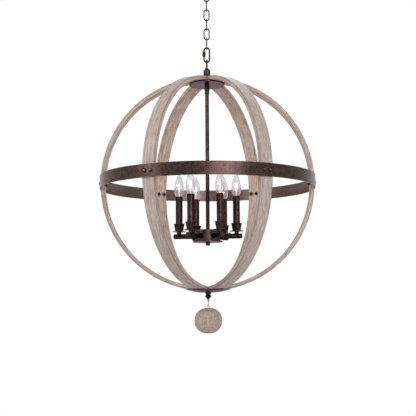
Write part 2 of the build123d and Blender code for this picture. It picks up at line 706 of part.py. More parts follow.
def lamp_base():
    """Screw base with its contact tip."""
    r = LAMP_BASE_D / 2
    tip = LAMP_TIP_D / 2
    return turned(
        (0, LAMP_TIP_Z),
        (tip, LAMP_TIP_Z),
        (r - 1, LAMP_BASE_Z),
        (r, LAMP_BASE_Z + 1),
        (r, GLASS_Z - SEAT),
        (0, GLASS_Z - SEAT),
        flats=CANDLE_FLATS,
    )


def make_lamps():
    glass, base = lamp_glass(), lamp_base()
    for i in range(CANDLES):
        place = Rot(0, 0, CANDLE_TURN + 360 / CANDLES * i) * Pos(CANDLE_R, 0, 0)
        save(f"lamp_glass_{i + 1}", place * glass)
        save(f"lamp_base_{i + 1}", place * base)


# ================================================================ bottom
def dish_curve(ball_r, rim_r):
    """Corners of the dish's face on a ball of this radius, from the stud's hole out to the rim."""
    start = asin(STUD_HOLE_D / 2 / ball_r)
    step = (asin(rim_r / ball_r) - start) / DISH_STEPS
    angles = [start + step * k for k in range(DISH_STEPS + 1)]
    return [(ball_r * sin(a), DISH_MID_Z - ball_r * cos(a)) for a in angles]


def bottom_dish():
    """Shallow spun dish whose rim bears on the ribs, drilled for the stud."""
    below = dish_curve(DISH_BALL_R, DISH_R)
    above = dish_curve(DISH_BALL_R - DISH_T, DISH_RIM_IN)
    return turned(*below, *reversed(above), flats=LARGE_FLATS)


def finial():
    """Turned finial on a stud: neck, waist, bead and cone, ending in a small drilled eye."""
    z = FINIAL_Z
    length = FINIAL_L
    turning = turned(
        (0, ORB_Z - RIB_RZ + STUD_L),
        (STUD_D / 2, ORB_Z - RIB_RZ + STUD_L),
        (STUD_D / 2, z),
        (FINIAL_NECK_D / 2, z),
        (FINIAL_NECK_D / 2, z - 0.13 * length),
        (0.36 * FINIAL_BEAD_D, z - 0.27 * length),
        (0.4 * FINIAL_BEAD_D, z - 0.38 * length),
        (FINIAL_BEAD_D / 2, z - 0.52 * length),
        (0.4 * FINIAL_BEAD_D, z - 0.68 * length),
        (FINIAL_EYE_D / 2, z - length),
        (0, z - length),
        flats=TURNED_FLATS,
    )
    edge_on = Pos(0, 0, FINIAL_EYE_Z) * Rot(90, 0, 0)
    eye = round_bar(FINIAL_EYE_D, -FINIAL_EYE_T / 2, FINIAL_EYE_T / 2, TURNED_FLATS)
    hole = round_bar(FINIAL_HOLE_D, -FINIAL_BEAD_D, FINIAL_BEAD_D, TURNED_FLATS)
    return turning + edge_on * eye - edge_on * hole


def hook():
    """S hook of round wire in the YZ plane: two bends joined by their inner tangent."""
    touch = degrees(atan2(-2 * HOOK_R, sqrt(HOOK_DROP**2 - 4 * HOOK_R**2)))
    upper = bow((0, HOOK_TOP_Z), HOOK_R, touch + HOOK_SWEEP, -HOOK_SWEEP)
    lower = bow((0, HOOK_LOW_Z), HOOK_R, touch + 180, HOOK_SWEEP)
    route = Plane.YZ * Polyline(*upper, *lower)
    section = Plane(route @ 0, z_dir=route % 0) * wire_section(HOOK_WIRE)
    return sweep(section, route, transition=Transition.RIGHT)


def screw_eye():
    """Screw eye in the ball: a ring, face on, with its shank in the wood."""
    flats = [pi * (2 * k + 1) / WIRE_FLATS for k in range(WIRE_FLATS)]
    corner = EYE_WIRE / 2 / cos(pi / WIRE_FLATS)
    ring = turned(*[(EYE_R + corner * cos(a), corner * sin(a)) for a in flats], flats=2 * BOW_STEPS)
    shank = round_bar(EYE_WIRE, BALL_TOP_Z - EYE_SHANK, EYE_Z - EYE_R, WIRE_FLATS)
    return Pos(0, 0, EYE_Z) * Rot(90, 0, 0) * ring + shank


def ball():
    """Slightly flattened wooden ball, bored for the screw eye."""
    angles = [pi / BALL_STEPS * k for k in range(1, BALL_STEPS)]
    side = [(BALL_D / 2 * sin(a), -BALL_H / 2 * cos(a)) for a in angles]
    body = turned((0, -BALL_H / 2), *side, (0, BALL_H / 2), flats=TURNED_FLATS)
    way = round_bar(EYE_WIRE + 2 * SEAT, BALL_TOP_Z - EYE_SHANK - SEAT, BALL_TOP_Z + 1, WIRE_FLATS)
    return Pos(0, 0, BALL_Z) * body - way


def make_bottom():
    save("bottom_dish", bottom_dish())
    save("finial", finial())
    save("ball_hook", hook())
    save("ball_eye", screw_eye())
    save("ball", ball())


os.makedirs("parts", exist_ok=True)
make_canopy()
make_chain()
make_orb()
make_stem()
make_hub()
make_candles()
make_lamps()
make_bottom()
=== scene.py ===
from math import asin, atan2, pi, radians, sqrt, tan

import bmesh
import bpy
import numpy as np
from mathutils import Matrix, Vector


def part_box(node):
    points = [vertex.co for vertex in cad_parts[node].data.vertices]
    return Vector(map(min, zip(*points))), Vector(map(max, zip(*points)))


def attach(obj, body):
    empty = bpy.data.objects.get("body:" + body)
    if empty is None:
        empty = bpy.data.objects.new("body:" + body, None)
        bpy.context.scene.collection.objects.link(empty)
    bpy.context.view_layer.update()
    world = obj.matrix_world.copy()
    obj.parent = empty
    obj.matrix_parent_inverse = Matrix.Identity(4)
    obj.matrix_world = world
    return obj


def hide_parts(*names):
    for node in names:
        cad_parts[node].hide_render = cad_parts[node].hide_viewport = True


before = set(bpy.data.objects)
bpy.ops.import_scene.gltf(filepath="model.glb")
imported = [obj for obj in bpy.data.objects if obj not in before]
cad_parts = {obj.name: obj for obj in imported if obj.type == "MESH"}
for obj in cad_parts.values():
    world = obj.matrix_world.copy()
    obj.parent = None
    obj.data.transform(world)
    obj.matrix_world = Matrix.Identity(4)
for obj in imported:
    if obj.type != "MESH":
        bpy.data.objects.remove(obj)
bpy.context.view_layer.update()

# ---------------------------------------------------------------- camera
# Stands level with the dish at the foot of the orb and looks a little up, as the picture was taken.
# The tilt, the slight lean and the lens come from the orb's own outline, band and chain.
CAMERA_PLACE = (0, -2.8074, -1.0925)
CAMERA_TILT, CAMERA_LEAN, CAMERA_TURN = radians(95.907), radians(-0.357), radians(-0.021)
camera = bpy.data.objects.new("camera", bpy.data.cameras.new("camera"))
camera.data.sensor_width = 36.0
camera.data.lens = 73.845
camera.location = CAMERA_PLACE
tilted = Matrix.Rotation(CAMERA_TILT, 3, "X") @ Matrix.Rotation(CAMERA_LEAN, 3, "Z")
camera.rotation_euler = (Matrix.Rotation(CAMERA_TURN, 3, "Z") @ tilted).to_euler()
bpy.context.collection.objects.link(camera)
bpy.context.scene.camera = camera


# ---------------------------------------------------------------- studio
# A plain pale floor, a room's height below the ceiling, under soft light from all round. A large lamp
# in front and one at the left give the wood its shape, a third lights it from behind, and the pale
# room shows as white in metal and glass.
class Amount:
    """A shader value that adds, subtracts, multiplies and divides like a number."""

    def __init__(self, finish, socket):
        self.finish = finish
        self.socket = socket

    def reckoned(self, operation, first, second):
        return self.finish.node("Math", {"operation": operation}, {0: first, 1: second})

    def __add__(self, other):
        return self.reckoned("ADD", self, other)

    __radd__ = __add__

    def __sub__(self, other):
        return self.reckoned("SUBTRACT", self, other)

    def __rsub__(self, other):
        return self.reckoned("SUBTRACT", other, self)

    def __mul__(self, other):
        return self.reckoned("MULTIPLY", self, other)

    __rmul__ = __mul__

    def __truediv__(self, other):
        return self.reckoned("DIVIDE", self, other)

    def larger(self, other):
        return self.reckoned("MAXIMUM", self, other)

    def rise(self, low, high):
        """From 0 at low to 1 at high, on a smooth step; low may be the higher of the two."""
        ramp = {"From Min": low, "From Max": high, "Value": self}
        return self.finish.node("MapRange", {"interpolation_type": "SMOOTHSTEP"}, ramp)


class Finish:
    """The nodes of a material or of the world, with one method that makes any of them."""

    def __init__(self, owner, last, **settings):
        owner.use_nodes = True
        self.owner = owner
        self.tree = owner.node_tree
        self.last = self.tree.nodes[last]
        self.lay(**settings)

    def lay(self, **values):
        """Gives inputs of the last node, each named with _ for a space, a plain value or an Amount."""
        for name, value in values.items():
            self.feed(self.last.inputs[name.replace("_", " ")], value)

    def feed(self, socket, value):
        if isinstance(value, Amount):
            self.tree.links.new(value.socket, socket)
        else:
            socket.default_value = value

    def node(self, kind, settings, values, out=0):
        made = self.tree.nodes.new("ShaderNode" + kind)
        for key, value in settings.items():
            setattr(made, key, value)
        for key, value in values.items():
            self.feed(made.inputs[key], value)
        return Amount(self, made.outputs[out])

    def here(self):
        """The shaded point's place on the object, in metres."""
        return self.node("TexCoord", {}, {}, "Object")

    def carried(self, name, out="Fac"):
        """What the piece's own mesh carries under this name."""
        return self.node("Attribute", {"attribute_name": name}, {}, out)

    def part(self, place, axis):
        """One of a place's three parts."""
        return self.node("SeparateXYZ", {}, {0: place}, axis)

    def blend(self, share, first, second):
        """Colour first where share is 0, and second where it is 1."""
        return self.node("Mix", {"data_type": "RGBA"}, {0: share, 6: first, 7: second}, 2)

    def stretched(self, place, scales):
        """A place multiplied along each axis, which draws a pattern out."""
        return self.node("VectorMath", {"operation": "MULTIPLY"}, {0: place, 1: scales})

    def mottle(self, place, scale, detail=3.0, roughness=0.55):
        """Cloudy noise from 0 to 1."""
        values = {"Vector": place, "Scale": scale, "Detail": detail, "Roughness": roughness}
        return self.node("TexNoise", {}, values)

    def bump(self, strength, depth, height):
        """The normal of a surface whose height goes up and down by depth, in metres."""
        return self.node("Bump", {}, {"Strength": strength, "Distance": depth, "Height": height})


def tone(code):
    """A colour of red, green and blue from its six-figure code on screen, with alpha 1."""
    parts = [int(code[k:k + 2], 16) / 255 for k in (0, 2, 4)]
    return (*[p / 12.92 if p <= 0.04045 else ((p + 0.055) / 1.055) ** 2.4 for p in parts], 1)


def surface(name, **settings):
    """The finish of a new material, with the values that are the same all over."""
    return Finish(bpy.data.materials.new(name), "Principled BSDF", **settings)


ROOM_LIGHT = 0.5
world = bpy.data.worlds.new("pale_room")
bpy.context.scene.world = world
room = Finish(world, "Background", Color=(1, 1, 1, 1))
by_camera, by_gloss, by_glass = (
    room.node("LightPath", {}, {}, f"Is {kind} Ray") for kind in ("Camera", "Glossy", "Transmission"))
seen = by_camera.larger(by_gloss).larger(by_glass)
room.lay(Strength=ROOM_LIGHT + (1 - ROOM_LIGHT) * seen)

FLOOR_Z, FLOOR_HALF, FLOOR_GLOW = -2.5, 4.0, 0.35
floor_corners = [(x * FLOOR_HALF, y * FLOOR_HALF, FLOOR_Z) for x, y in ((-1, -1), (1, -1), (1, 1), (-1, 1))]
floor_mesh = bpy.data.meshes.new("floor")
floor_mesh.from_pydata(floor_corners, [], [(0, 1, 2, 3)])
floor = bpy.data.objects.new("floor", floor_mesh)
bpy.context.collection.objects.link(floor)
floor_paint = surface("floor_paint", Roughness=0.8, Specular_IOR_Level=0.1, Emission_Strength=FLOOR_GLOW)
floor_cloud = floor_paint.mottle(floor_paint.here(), 1.5)
looked_at = floor_paint.node("LightPath", {}, {}, "Is Camera Ray")
floor_paint.lay(
    Base_Color=floor_paint.blend(floor_cloud, tone("e9e8e6"), tone("f1f0ee")),
    Emission_Color=floor_paint.blend(looked_at, tone("000000"), tone("f2f1ef")),
)
floor_mesh.materials.append(floor_paint.owner)

LAMPS_AIM = np.array((0, 0, -0.75))
for lamp_name, place, size, power in (
    ("key_lamp", (1.0, -3.1, 0.05), 1.5, 46),
    ("side_lamp", (-2.4, -1.5, 0.2), 0.9, 22),
    ("back_lamp", (0.6, 2.0, 1.2), 1.2, 30),
):
    lamp = bpy.data.objects.new(lamp_name, bpy.data.lights.new(lamp_name, "AREA"))
    lamp.data.size = size
    lamp.data.energy = power
    lamp.location = place
    x, y, z = np.array(place) - LAMPS_AIM
    lamp.rotation_euler = (atan2(sqrt(x**2 + y**2), z), 0, atan2(x, -y))
    bpy.context.collection.objects.link(lamp)


# ---------------------------------------------------------------- canopy
# A pressed steel pan against the ceiling, oil-rubbed dark bronze, held up by a round collar under it.
# Inside, a zinc strap, its lock nut and the threaded tube come from the CAD model as they are.
MM = 1000.0
CANOPY_R, CANOPY_H, CANOPY_WALL, SHOULDER = 63.475, 25.0, 1.2, 12.0
COLLAR_R, COLLAR_H, COLLAR_CHAMFER = 13.5, 6.0, 1.5
BORE_R = 4.8


def eased(corners, ease=0.4, wear=1.4):
    """An outline (radius, height) in mm, its corners rounded.

    Each corner becomes six points: two where the worn edge begins and ends, two where the round
    meets the sides, and two on the parabola between those, a third and two thirds along it. A round
    takes at most 0.3 of a side, and a worn edge 0.45. Wear is 1 on an outer corner's round, -1 in an
    inner corner, and 0 where the worn edge ends. An outline whose ends lie on the axis stays open.
    """
    at = np.array(corners, float)
    closed = at[0, 0] > 0 or at[-1, 0] > 0
    back, ahead = np.roll(at, 1, 0) - at, np.roll(at, -1, 0) - at
    back_l, ahead_l = np.hypot(*back.T), np.hypot(*ahead.T)
    back, ahead = back / back_l[:, None], ahead / ahead_l[:, None]
    area = np.sum(at[:, 0] * np.roll(at[:, 1], -1) - np.roll(at[:, 0], -1) * at[:, 1])
    turn = back[:, 1] * ahead[:, 0] - back[:, 0] * ahead[:, 1]
    outer = np.where(turn * area > 0, 1.0, -1.0)
    start = at + back * np.minimum(ease, 0.3 * back_l)[:, None]
    end = at + ahead * np.minimum(ease, 0.3 * ahead_l)[:, None]
    mids = [(1 - t) ** 2 * start + 2 * t * (1 - t) * at + t**2 * end for t in (1 / 3, 2 / 3)]
    worn_start = at + back * np.minimum(wear, 0.45 * back_l)[:, None]
    worn_end = at + ahead * np.minimum(wear, 0.45 * ahead_l)[:, None]
    points = np.stack([worn_start, start, *mids, end, worn_end], 1)
    worn = outer[:, None] * np.array([0, 0.75, 1, 1, 0.75, 0])
    if closed:
        return points.reshape(-1, 2), worn.ravel(), True
    points, worn = points[1:-1].reshape(-1, 2), worn[1:-1].ravel()
    return np.vstack([at[:1], points, at[-1:]]), np.concatenate([[0], worn, [0]]), False


def spun(points, worn=None, loop=False, sides=72):
    """A patch turned on the axis: each outline point (r, z) goes round to (r cos a, r sin a, z).

    A patch is a grid of points, the wear at each, and whether its last row joins its first.
    """
    points = np.array(points, float)
    a = np.linspace(0, 2 * pi, sides, endpoint=False)
    r, z = points[:, :1], points[:, 1:]
    grid = np.stack([r * np.cos(a), r * np.sin(a), z + 0 * a], 2)
    marks = np.zeros(len(points)) if worn is None else worn
    return grid, np.repeat(marks[:, None], sides, 1), loop


def turned(*corners, ease=0.4, wear=1.4, sides=72):
    """A turned patch from the corners of its outline, lightly rounded."""
    points, worn, loop = eased(corners, ease, wear)
    return spun(points, worn, loop, sides)


def put(patch, *moves):
    """The patch, moved by each matrix in turn."""
    grid, marks, loop = patch
    for move in moves:
        m = np.array(move)
        grid = grid @ m[:3, :3].T + m[:3, 3]
    return grid, marks, loop


def open_ends(index, at):
    """The first and last rows of a patch, where they are rings and not one point, turned outwards."""
    return [ring for ring in (index[0], index[-1][::-1]) if np.ptp(at[ring], 0).max() > 1e-6]


def piece(name, patches, finish, plank=None):
    """One mesh of closed patches given in mm, with each point's place in its plank if it is of wood.

    Each cell of a patch's grid is one face. Columns join up, and so do rows where it is a loop; an
    end row that isn't a point gets a flat end. Faces are turned so that the volume, which is the sum
    of (a x b) . c over their triangles seen from the patch's middle, is positive.
    """
    points, faces, marks, first = [], [], [], 0
    for grid, worn, loop in patches:
        rows, columns = grid.shape[:2]
        at = grid.reshape(-1, 3)
        off = at - at.mean(0)
        index = np.arange(rows * columns).reshape(rows, columns)
        down = np.vstack([index, index[:1]]) if loop else index
        right = np.roll(down, -1, 1)
        cells = np.stack([down[:-1], down[1:], right[1:], right[:-1]], 2).reshape(-1, 4)
        rings = [] if loop else open_ends(index, at)
        a, b, c, d = (off[cells[:, k]] for k in range(4))
        volume = np.sum(np.cross(a, b) * c + np.cross(a, c) * d)
        for ring in rings:
            volume += np.sum(np.cross(off[ring], off[np.roll(ring, -1)]) * off[ring].mean(0))
        if volume < 0:
            cells, rings = cells[:, ::-1], [ring[::-1] for ring in rings]
        points.append(at / MM)
        marks.append(worn.ravel())
        faces += (first + cells).tolist() + [(first + ring).tolist() for ring in rings]
        first += rows * columns
    mesh = bpy.data.meshes.new(name)
    mesh.from_pydata(np.vstack(points).tolist(), [], faces)
    mesh.attributes.new("worn", "FLOAT", "POINT").data.foreach_set("value", np.concatenate(marks).astype("f"))
    if plank is not None:
        places = mesh.attributes.new("plank", "FLOAT_VECTOR", "POINT")
        places.data.foreach_set("vector", plank.ravel().astype("f"))
    close_up(mesh)
    mesh.materials.append(finish.owner)
    made = bpy.data.objects.new(name, mesh)
    bpy.context.collection.objects.link(made)
    return made


def close_up(mesh):
    """Merges the points that meet at poles, drops the edges left with no face, and shades smooth."""
    b = bmesh.new()
    b.from_mesh(mesh)
    bmesh.ops.remove_doubles(b, verts=b.verts, dist=1e-7)
    bmesh.ops.delete(b, geom=[edge for edge in b.edges if not edge.link_faces], context="EDGES")
    b.to_mesh(mesh)
    b.free()
    mesh.validate()
    mesh.polygons.foreach_set("use_smooth", [True] * len(mesh.polygons))


def bronze(name, shine=0.3, copper=0.4, body=("221a19", "3a2e2b"), rim="dccfd6", speck=0.7,
           worn_from=None, painted_light_from=None):
    """Oil-rubbed bronze: dark brown in clouds of two body tones, with specks of red and of black,
    copper where it is worn, and a paler tone where the last argument marks painted light.

    Shine is the roughness, copper and speck say how much of each shows, and rim is the tone at a
    glancing angle. The last two arguments find, on a mesh that carries no wear, the worn places and
    the places painted paler as painted light.
    """
    f = surface(name, Metallic=1.0, Specular_Tint=tone(rim), Coat_Weight=0.1, Coat_Roughness=0.2)
    red, black, painted_pale, bare = tone("75503f"), tone("0f0b0b"), tone("7e6c68"), tone("9a6248")
    place = f.here()
    cloud = f.mottle(place, 80.0, 6.0, 0.68)
    fleck = f.mottle(place, 380.0, 3.0, 0.75)
    colour = f.blend(cloud.rise(0.35, 0.65), tone(body[0]), tone(body[1]))
    colour = f.blend(speck * fleck.rise(0.54, 0.7), colour, red)
    colour = f.blend(speck * fleck.rise(0.44, 0.3), colour, black)
    # Painted light: a paler tone laid where the last mask says, standing in for light falling on that face.
    if painted_light_from:
        colour = f.blend(0.4 * painted_light_from(f, place), colour, painted_pale)
    worn = worn_from(f, place) if worn_from else f.carried("worn")
    rubbed = (worn + 0.9 * (cloud - 0.5)).rise(0.35, 1.1) * copper
    f.lay(
        Base_Color=f.blend(rubbed, colour, bare),
        Roughness=shine + 0.24 * (cloud - 0.5) - 0.05 * rubbed,
        Normal=f.bump(0.2, 0.0003, fleck),
    )
    return f


def dress(node, finish):
    """Gives a CAD node, kept as it is, this finish."""
    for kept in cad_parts[node].material_slots:
        kept.material = finish.owner


dark_bronze = bronze("dark_bronze")
tube_bronze = bronze("tube_bronze", 0.25, 0.5, ("241a19", "40312f"), rim="8a7076", speck=0.4)
BULGE, INNER_BULGE = 0.3 * SHOULDER, 0.4 * CANOPY_WALL
pan = piece("canopy_pan", [turned(
    (CANOPY_R, 0), (CANOPY_R, SHOULDER - CANOPY_H), (CANOPY_R - BULGE, BULGE - CANOPY_H),
    (CANOPY_R - SHOULDER, -CANOPY_H), (BORE_R, -CANOPY_H), (BORE_R, CANOPY_WALL - CANOPY_H),
    (CANOPY_R - SHOULDER, CANOPY_WALL - CANOPY_H),
    (CANOPY_R - CANOPY_WALL - BULGE, INNER_BULGE + BULGE - CANOPY_H),
    (CANOPY_R - CANOPY_WALL, SHOULDER - CANOPY_H), (CANOPY_R - CANOPY_WALL, 0), sides=128)], dark_bronze)
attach(pan, "ceiling")
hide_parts("canopy")

COLLAR_LOW = -CANOPY_H - COLLAR_H
collar = piece("canopy_ring", [turned(
    (BORE_R, -CANOPY_H), (COLLAR_R, -CANOPY_H), (COLLAR_R, COLLAR_LOW + COLLAR_CHAMFER),
    (COLLAR_R - COLLAR_CHAMFER, COLLAR_LOW), (BORE_R, COLLAR_LOW))], dark_bronze)
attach(collar, "ceiling")
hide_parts("canopy_collar")

zinc = surface("zinc", Metallic=1.0)
spangle = zinc.node("TexVoronoi", {}, {"Vector": zinc.here(), "Scale": 260.0})
zinc.lay(
    Base_Color=zinc.blend(spangle.rise(0.1, 0.7), tone("a9a8a3"), tone("c9c8c4")),
    Roughness=0.34 + 0.2 * spangle,
)
for node in ("crossbar", "crossbar_nut", "canopy_nipple"):
    dress(node, zinc)


# ---------------------------------------------------------------- canopy loop and chain
# Six welded links of round wire hang from a fixed loop, turn about, edge on and face on. Each is bent
# from dark bronze wire, butt-welded in one straight side, which leaves a small swelling there.
LOOP_TOP, LOOP_LOW, LOOP_W, LOOP_WIRE = -41.5, -65.5, 17.0, 5.0
LOOP_HUB_R, LOOP_HUB_H, LOOP_HUB_CHAMFER = 8.5, 8.0, 2.0
LINK_WIRE, LINK_W = 3.8, 20.6
WELD_HALF, WELD_SWELL = 1.6, 0.1
WIRE_SIDES = 20


def foot_and_top(node):
    """The heights in mm of a CAD node's lowest and highest points."""
    low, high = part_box(node)
    return low[2] * MM, high[2] * MM


def oval(top, low, width, count=120):
    """The middle line (x, z) of a link, and how far along it each point lies, at equal steps.

    Two half circles of radius width / 2 are joined by straight sides. It runs from the middle of the
    right side up and round, and at a distance s into a half circle it has turned by s / radius.
    """
    r, straight = width / 2, (top - low) - width
    length = 2 * pi * r + 2 * straight
    s = np.linspace(0, length, count, endpoint=False)
    s1, s2, s3, s4 = np.cumsum([straight / 2, pi * r, straight, pi * r])
    over, under = (s - s1) / r, pi + (s - s3) / r
    x = np.select([s < s1, s < s2, s < s3, s < s4], [r, r * np.cos(over), -r, r * np.cos(under)], r)
    middle = (top + low) / 2
    z = np.select(
        [s < s1, s < s2, s < s3, s < s4],
        [
            middle + s,
            top - r + r * np.sin(over),
            middle + straight / 2 - (s - s2),
            low + r + r * np.sin(under),
        ],
        middle - straight / 2 + (s - s4),
    )
    return np.stack([x, z], 1), s


def wire(path, thick, edge_on=False, loop=True, sides=WIRE_SIDES):
    """A patch of round wire along a flat path of (x, z) points.

    Round each path point goes a circle of half the wire, in the plane of the path's own normal and
    the upright to the path's plane. Edge on, the path lies in YZ, else in XZ. The wire is rubbed on
    the inner side of its bend.
    """
    x, z = path.T[:, :, None]
    step = np.roll(path, -1, 0) - np.roll(path, 1, 0) if loop else np.gradient(path, axis=0)
    step_x, step_z = (step / np.hypot(*step.T)[:, None]).T[:, :, None]
    a = np.linspace(0, 2 * pi, sides, endpoint=False)
    r = np.asarray(thick, float) / 2
    r = r[:, None] if r.ndim == 1 else r
    out, up = r * np.cos(a), r * np.sin(a) + 0 * x
    across = [x + out * step_z, up, z - out * step_x]
    grid = np.stack([-across[1], across[0], across[2]] if edge_on else across, 2)
    bend = np.sign(np.sum(step_x * np.roll(step_z, -1, 0) - step_z * np.roll(step_x, -1, 0)))
    marks = np.repeat((0.35 - 0.35 * bend * np.cos(a))[None], len(path), 0)
    return grid, marks, loop


chain_bronze = bronze("chain_bronze", 0.3, 0.3, ("0e0a0a", "1c1514"), rim="2c2526", speck=0.3)
loop_line, _ = oval(LOOP_TOP, LOOP_LOW, LOOP_W)
LOOP_HUB_LOW = COLLAR_LOW - LOOP_HUB_H
fixed_loop = piece("ceiling_loop", [
    wire(loop_line, LOOP_WIRE, True),
    turned((0, COLLAR_LOW), (LOOP_HUB_R, COLLAR_LOW), (LOOP_HUB_R, LOOP_HUB_LOW + LOOP_HUB_CHAMFER),
           (LOOP_HUB_R - LOOP_HUB_CHAMFER, LOOP_HUB_LOW), (0, LOOP_HUB_LOW), ease=0.6),
], chain_bronze)
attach(fixed_loop, "ceiling")
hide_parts("canopy_loop")

for n in range(6):
    foot, top = foot_and_top(f"chain_link_{n + 1}")
    link_line, along = oval(top - LINK_WIRE / 2, foot + LINK_WIRE / 2, LINK_W - LINK_WIRE)
    off_weld = np.minimum(along, along.max() - along)
    swelling = 1 + WELD_SWELL * np.exp(-((off_weld / WELD_HALF) ** 2))
    link = piece(f"link_wire_{n + 1}", [wire(link_line, LINK_WIRE * swelling, n % 2 == 1)], chain_bronze)
    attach(link, f"link_{n + 1}")
    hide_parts(f"chain_link_{n + 1}")


# ---------------------------------------------------------------- quick link
# An oval of thicker wire with an open mouth in its left leg. A long nut, hexagonal with a round
# collar at each end, runs on the leg's rolled thread and closes the mouth.
QUICK_WIRE, QUICK_R = 5.2, 9.0
QUICK_TOP, QUICK_LOW = -259.55, -308.7
MOUTH_TOP, MOUTH_LOW = -275.15, -280.15
ROLLED_TOP, ROLLED_LOW = -271.45, -299.35
ROLLED_PITCH, ROLLED_DEPTH, ROLLED_STEP = 0.8, 0.32, 0.1
BY_THE_LEG = -QUICK_R + 0.01


def quick_line():
    """The link's middle line, from the mouth's upper lip up the left leg and round to its lower lip."""
    closed, _ = oval(QUICK_TOP, QUICK_LOW, 2 * QUICK_R, 160)
    bows = closed[closed[:, 0] >= BY_THE_LEG]
    before_leg = int(np.argmax(np.hypot(*np.diff(bows, axis=0).T))) + 1
    heights = np.arange(ROLLED_LOW + ROLLED_STEP, QUICK_TOP - QUICK_R, ROLLED_STEP)
    leg = np.stack([np.full(len(heights), -QUICK_R), heights], 1)
    above, below = leg[heights > MOUTH_TOP], leg[heights < MOUTH_LOW]
    return np.vstack([above, bows[:before_leg][::-1], bows[before_leg:][::-1], below])


def rolled_groove(line):
    """How much the thread takes off the wire: depth times (1 + sin(2 pi z / pitch + a)) / 2."""
    a = np.linspace(0, 2 * pi, WIRE_SIDES, endpoint=False)
    x, z = line.T
    rolled = (x < BY_THE_LEG) & (z < ROLLED_TOP) & (z > ROLLED_LOW)
    return ROLLED_DEPTH * (0.5 + 0.5 * np.sin(2 * pi * line[:, 1:] / ROLLED_PITCH + a)) * rolled[:, None]


open_line = quick_line()
open_wire = wire(open_line, QUICK_WIRE - rolled_groove(open_line), loop=False)
quick = piece("quick_link_wire", [open_wire], chain_bronze)
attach(quick, "quick_link")
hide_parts("quick_link")
dress("quick_link_nut", chain_bronze)


# ---------------------------------------------------------------- crown
# A hanging loop, edge on, whose threaded shank runs down through a turned cap, a washer and the six
# mitred rib ends into the coupling. The disc below draws the ribs up. All dark bronze.
BELL_TOP, BELL_LOW, BELL_W, BELL_WIRE = -302.75, -329.75, 16.0, 6.0
CAP_TOP, CAP_LOW, CAP_R, CAP_FLARE = -335.75, -362.75, 11.5, 3.0
SHANK_R, THREAD_R, THREAD_L = 6.0, 4.75, 12.0
WASHER_R, WASHER_T, DISC_R = 19.0, 2.0, 59.0
DISC_LOW, DISC_TOP = foot_and_top("top_disc")
SEAT = 0.05

bell_line, _ = oval(BELL_TOP, BELL_LOW, BELL_W)
SHANK_LOW, SHANK_TOP = DISC_LOW - THREAD_L, CAP_TOP + 1
crown = piece("crown_loop", [
    wire(bell_line, BELL_WIRE, True, sides=28),
    turned((0, CAP_TOP), (SHANK_R, CAP_TOP), (SHANK_R, BELL_LOW), (0, BELL_LOW), ease=0.8),
    turned((0, SHANK_LOW), (THREAD_R, SHANK_LOW), (THREAD_R, SHANK_TOP), (0, SHANK_TOP)),
], chain_bronze)
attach(crown, "orb")
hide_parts("bell_loop")


def cap_outline():
    """The cap's outline and its wear, with t from 0 at the top to 1 at the foot.

    The radius rises from 0.85 of its full size on a quarter sine up to t = 0.16, and past t = 0.55
    the flare is added, growing as a square. The height falls as t to the power of 1.2.
    """
    t = np.linspace(0, 1, 24)
    r = CAP_R * (0.85 + 0.15 * np.sin(np.minimum(t / 0.16, 1) * pi / 2))
    r += CAP_FLARE * np.maximum((t - 0.55) / 0.45, 0) ** 2
    side = np.stack([r, CAP_TOP - (CAP_TOP - CAP_LOW) * t**1.2], 1)
    worn = np.concatenate([[0, 0.5], 0.3 * np.exp(-((t[1:-1] - 0.1) / 0.1) ** 2), [0.8, 0]])
    return np.vstack([(BORE_R, CAP_TOP), side, (BORE_R, CAP_LOW)]), worn


cap = piece("crown_cap", [spun(*cap_outline(), True)], tube_bronze)
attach(cap, "orb")
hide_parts("bell_cap")

WASHER_LOW, WASHER_TOP = CAP_LOW - WASHER_T, CAP_LOW - SEAT
washer = piece("crown_washer", [turned(
    (BORE_R, WASHER_LOW), (WASHER_R, WASHER_LOW), (WASHER_R, WASHER_TOP), (BORE_R, WASHER_TOP))], dark_bronze)
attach(washer, "orb")
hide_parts("cap_washer")

disc = piece("crown_disc", [turned(
    (BORE_R, DISC_LOW), (DISC_R, DISC_LOW), (DISC_R, DISC_TOP), (BORE_R, DISC_TOP),
    ease=0.8, wear=2.5, sides=128)], dark_bronze)
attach(disc, "orb")
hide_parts("top_disc")


# ---------------------------------------------------------------- ribs
# Six strips of oak, 43 by 13 mm, steamed and bent to half an ellipse from pole to pole, weathered
# grey-brown. Their tips are cut to 60 degree mitres, glued edge to edge and clamped between disc and cap.
ORB_Z = -720.3
RIB_RX, RIB_RZ = 352.344, 355.5
RIB_W, RIB_T, RIB_EASE, RIB_WEAR = 43.0, 13.0, 1.6, 4.0
RIB_STEPS = 260
MITRE_APEX = 0.1
TIP_TOP_R, TIP_FOOT_R = 5.3, 3.3
PLANK_ALONG, PLANK_ACROSS = 2300.0, 61
WOOD_SKIN = (8.0, 12.0)


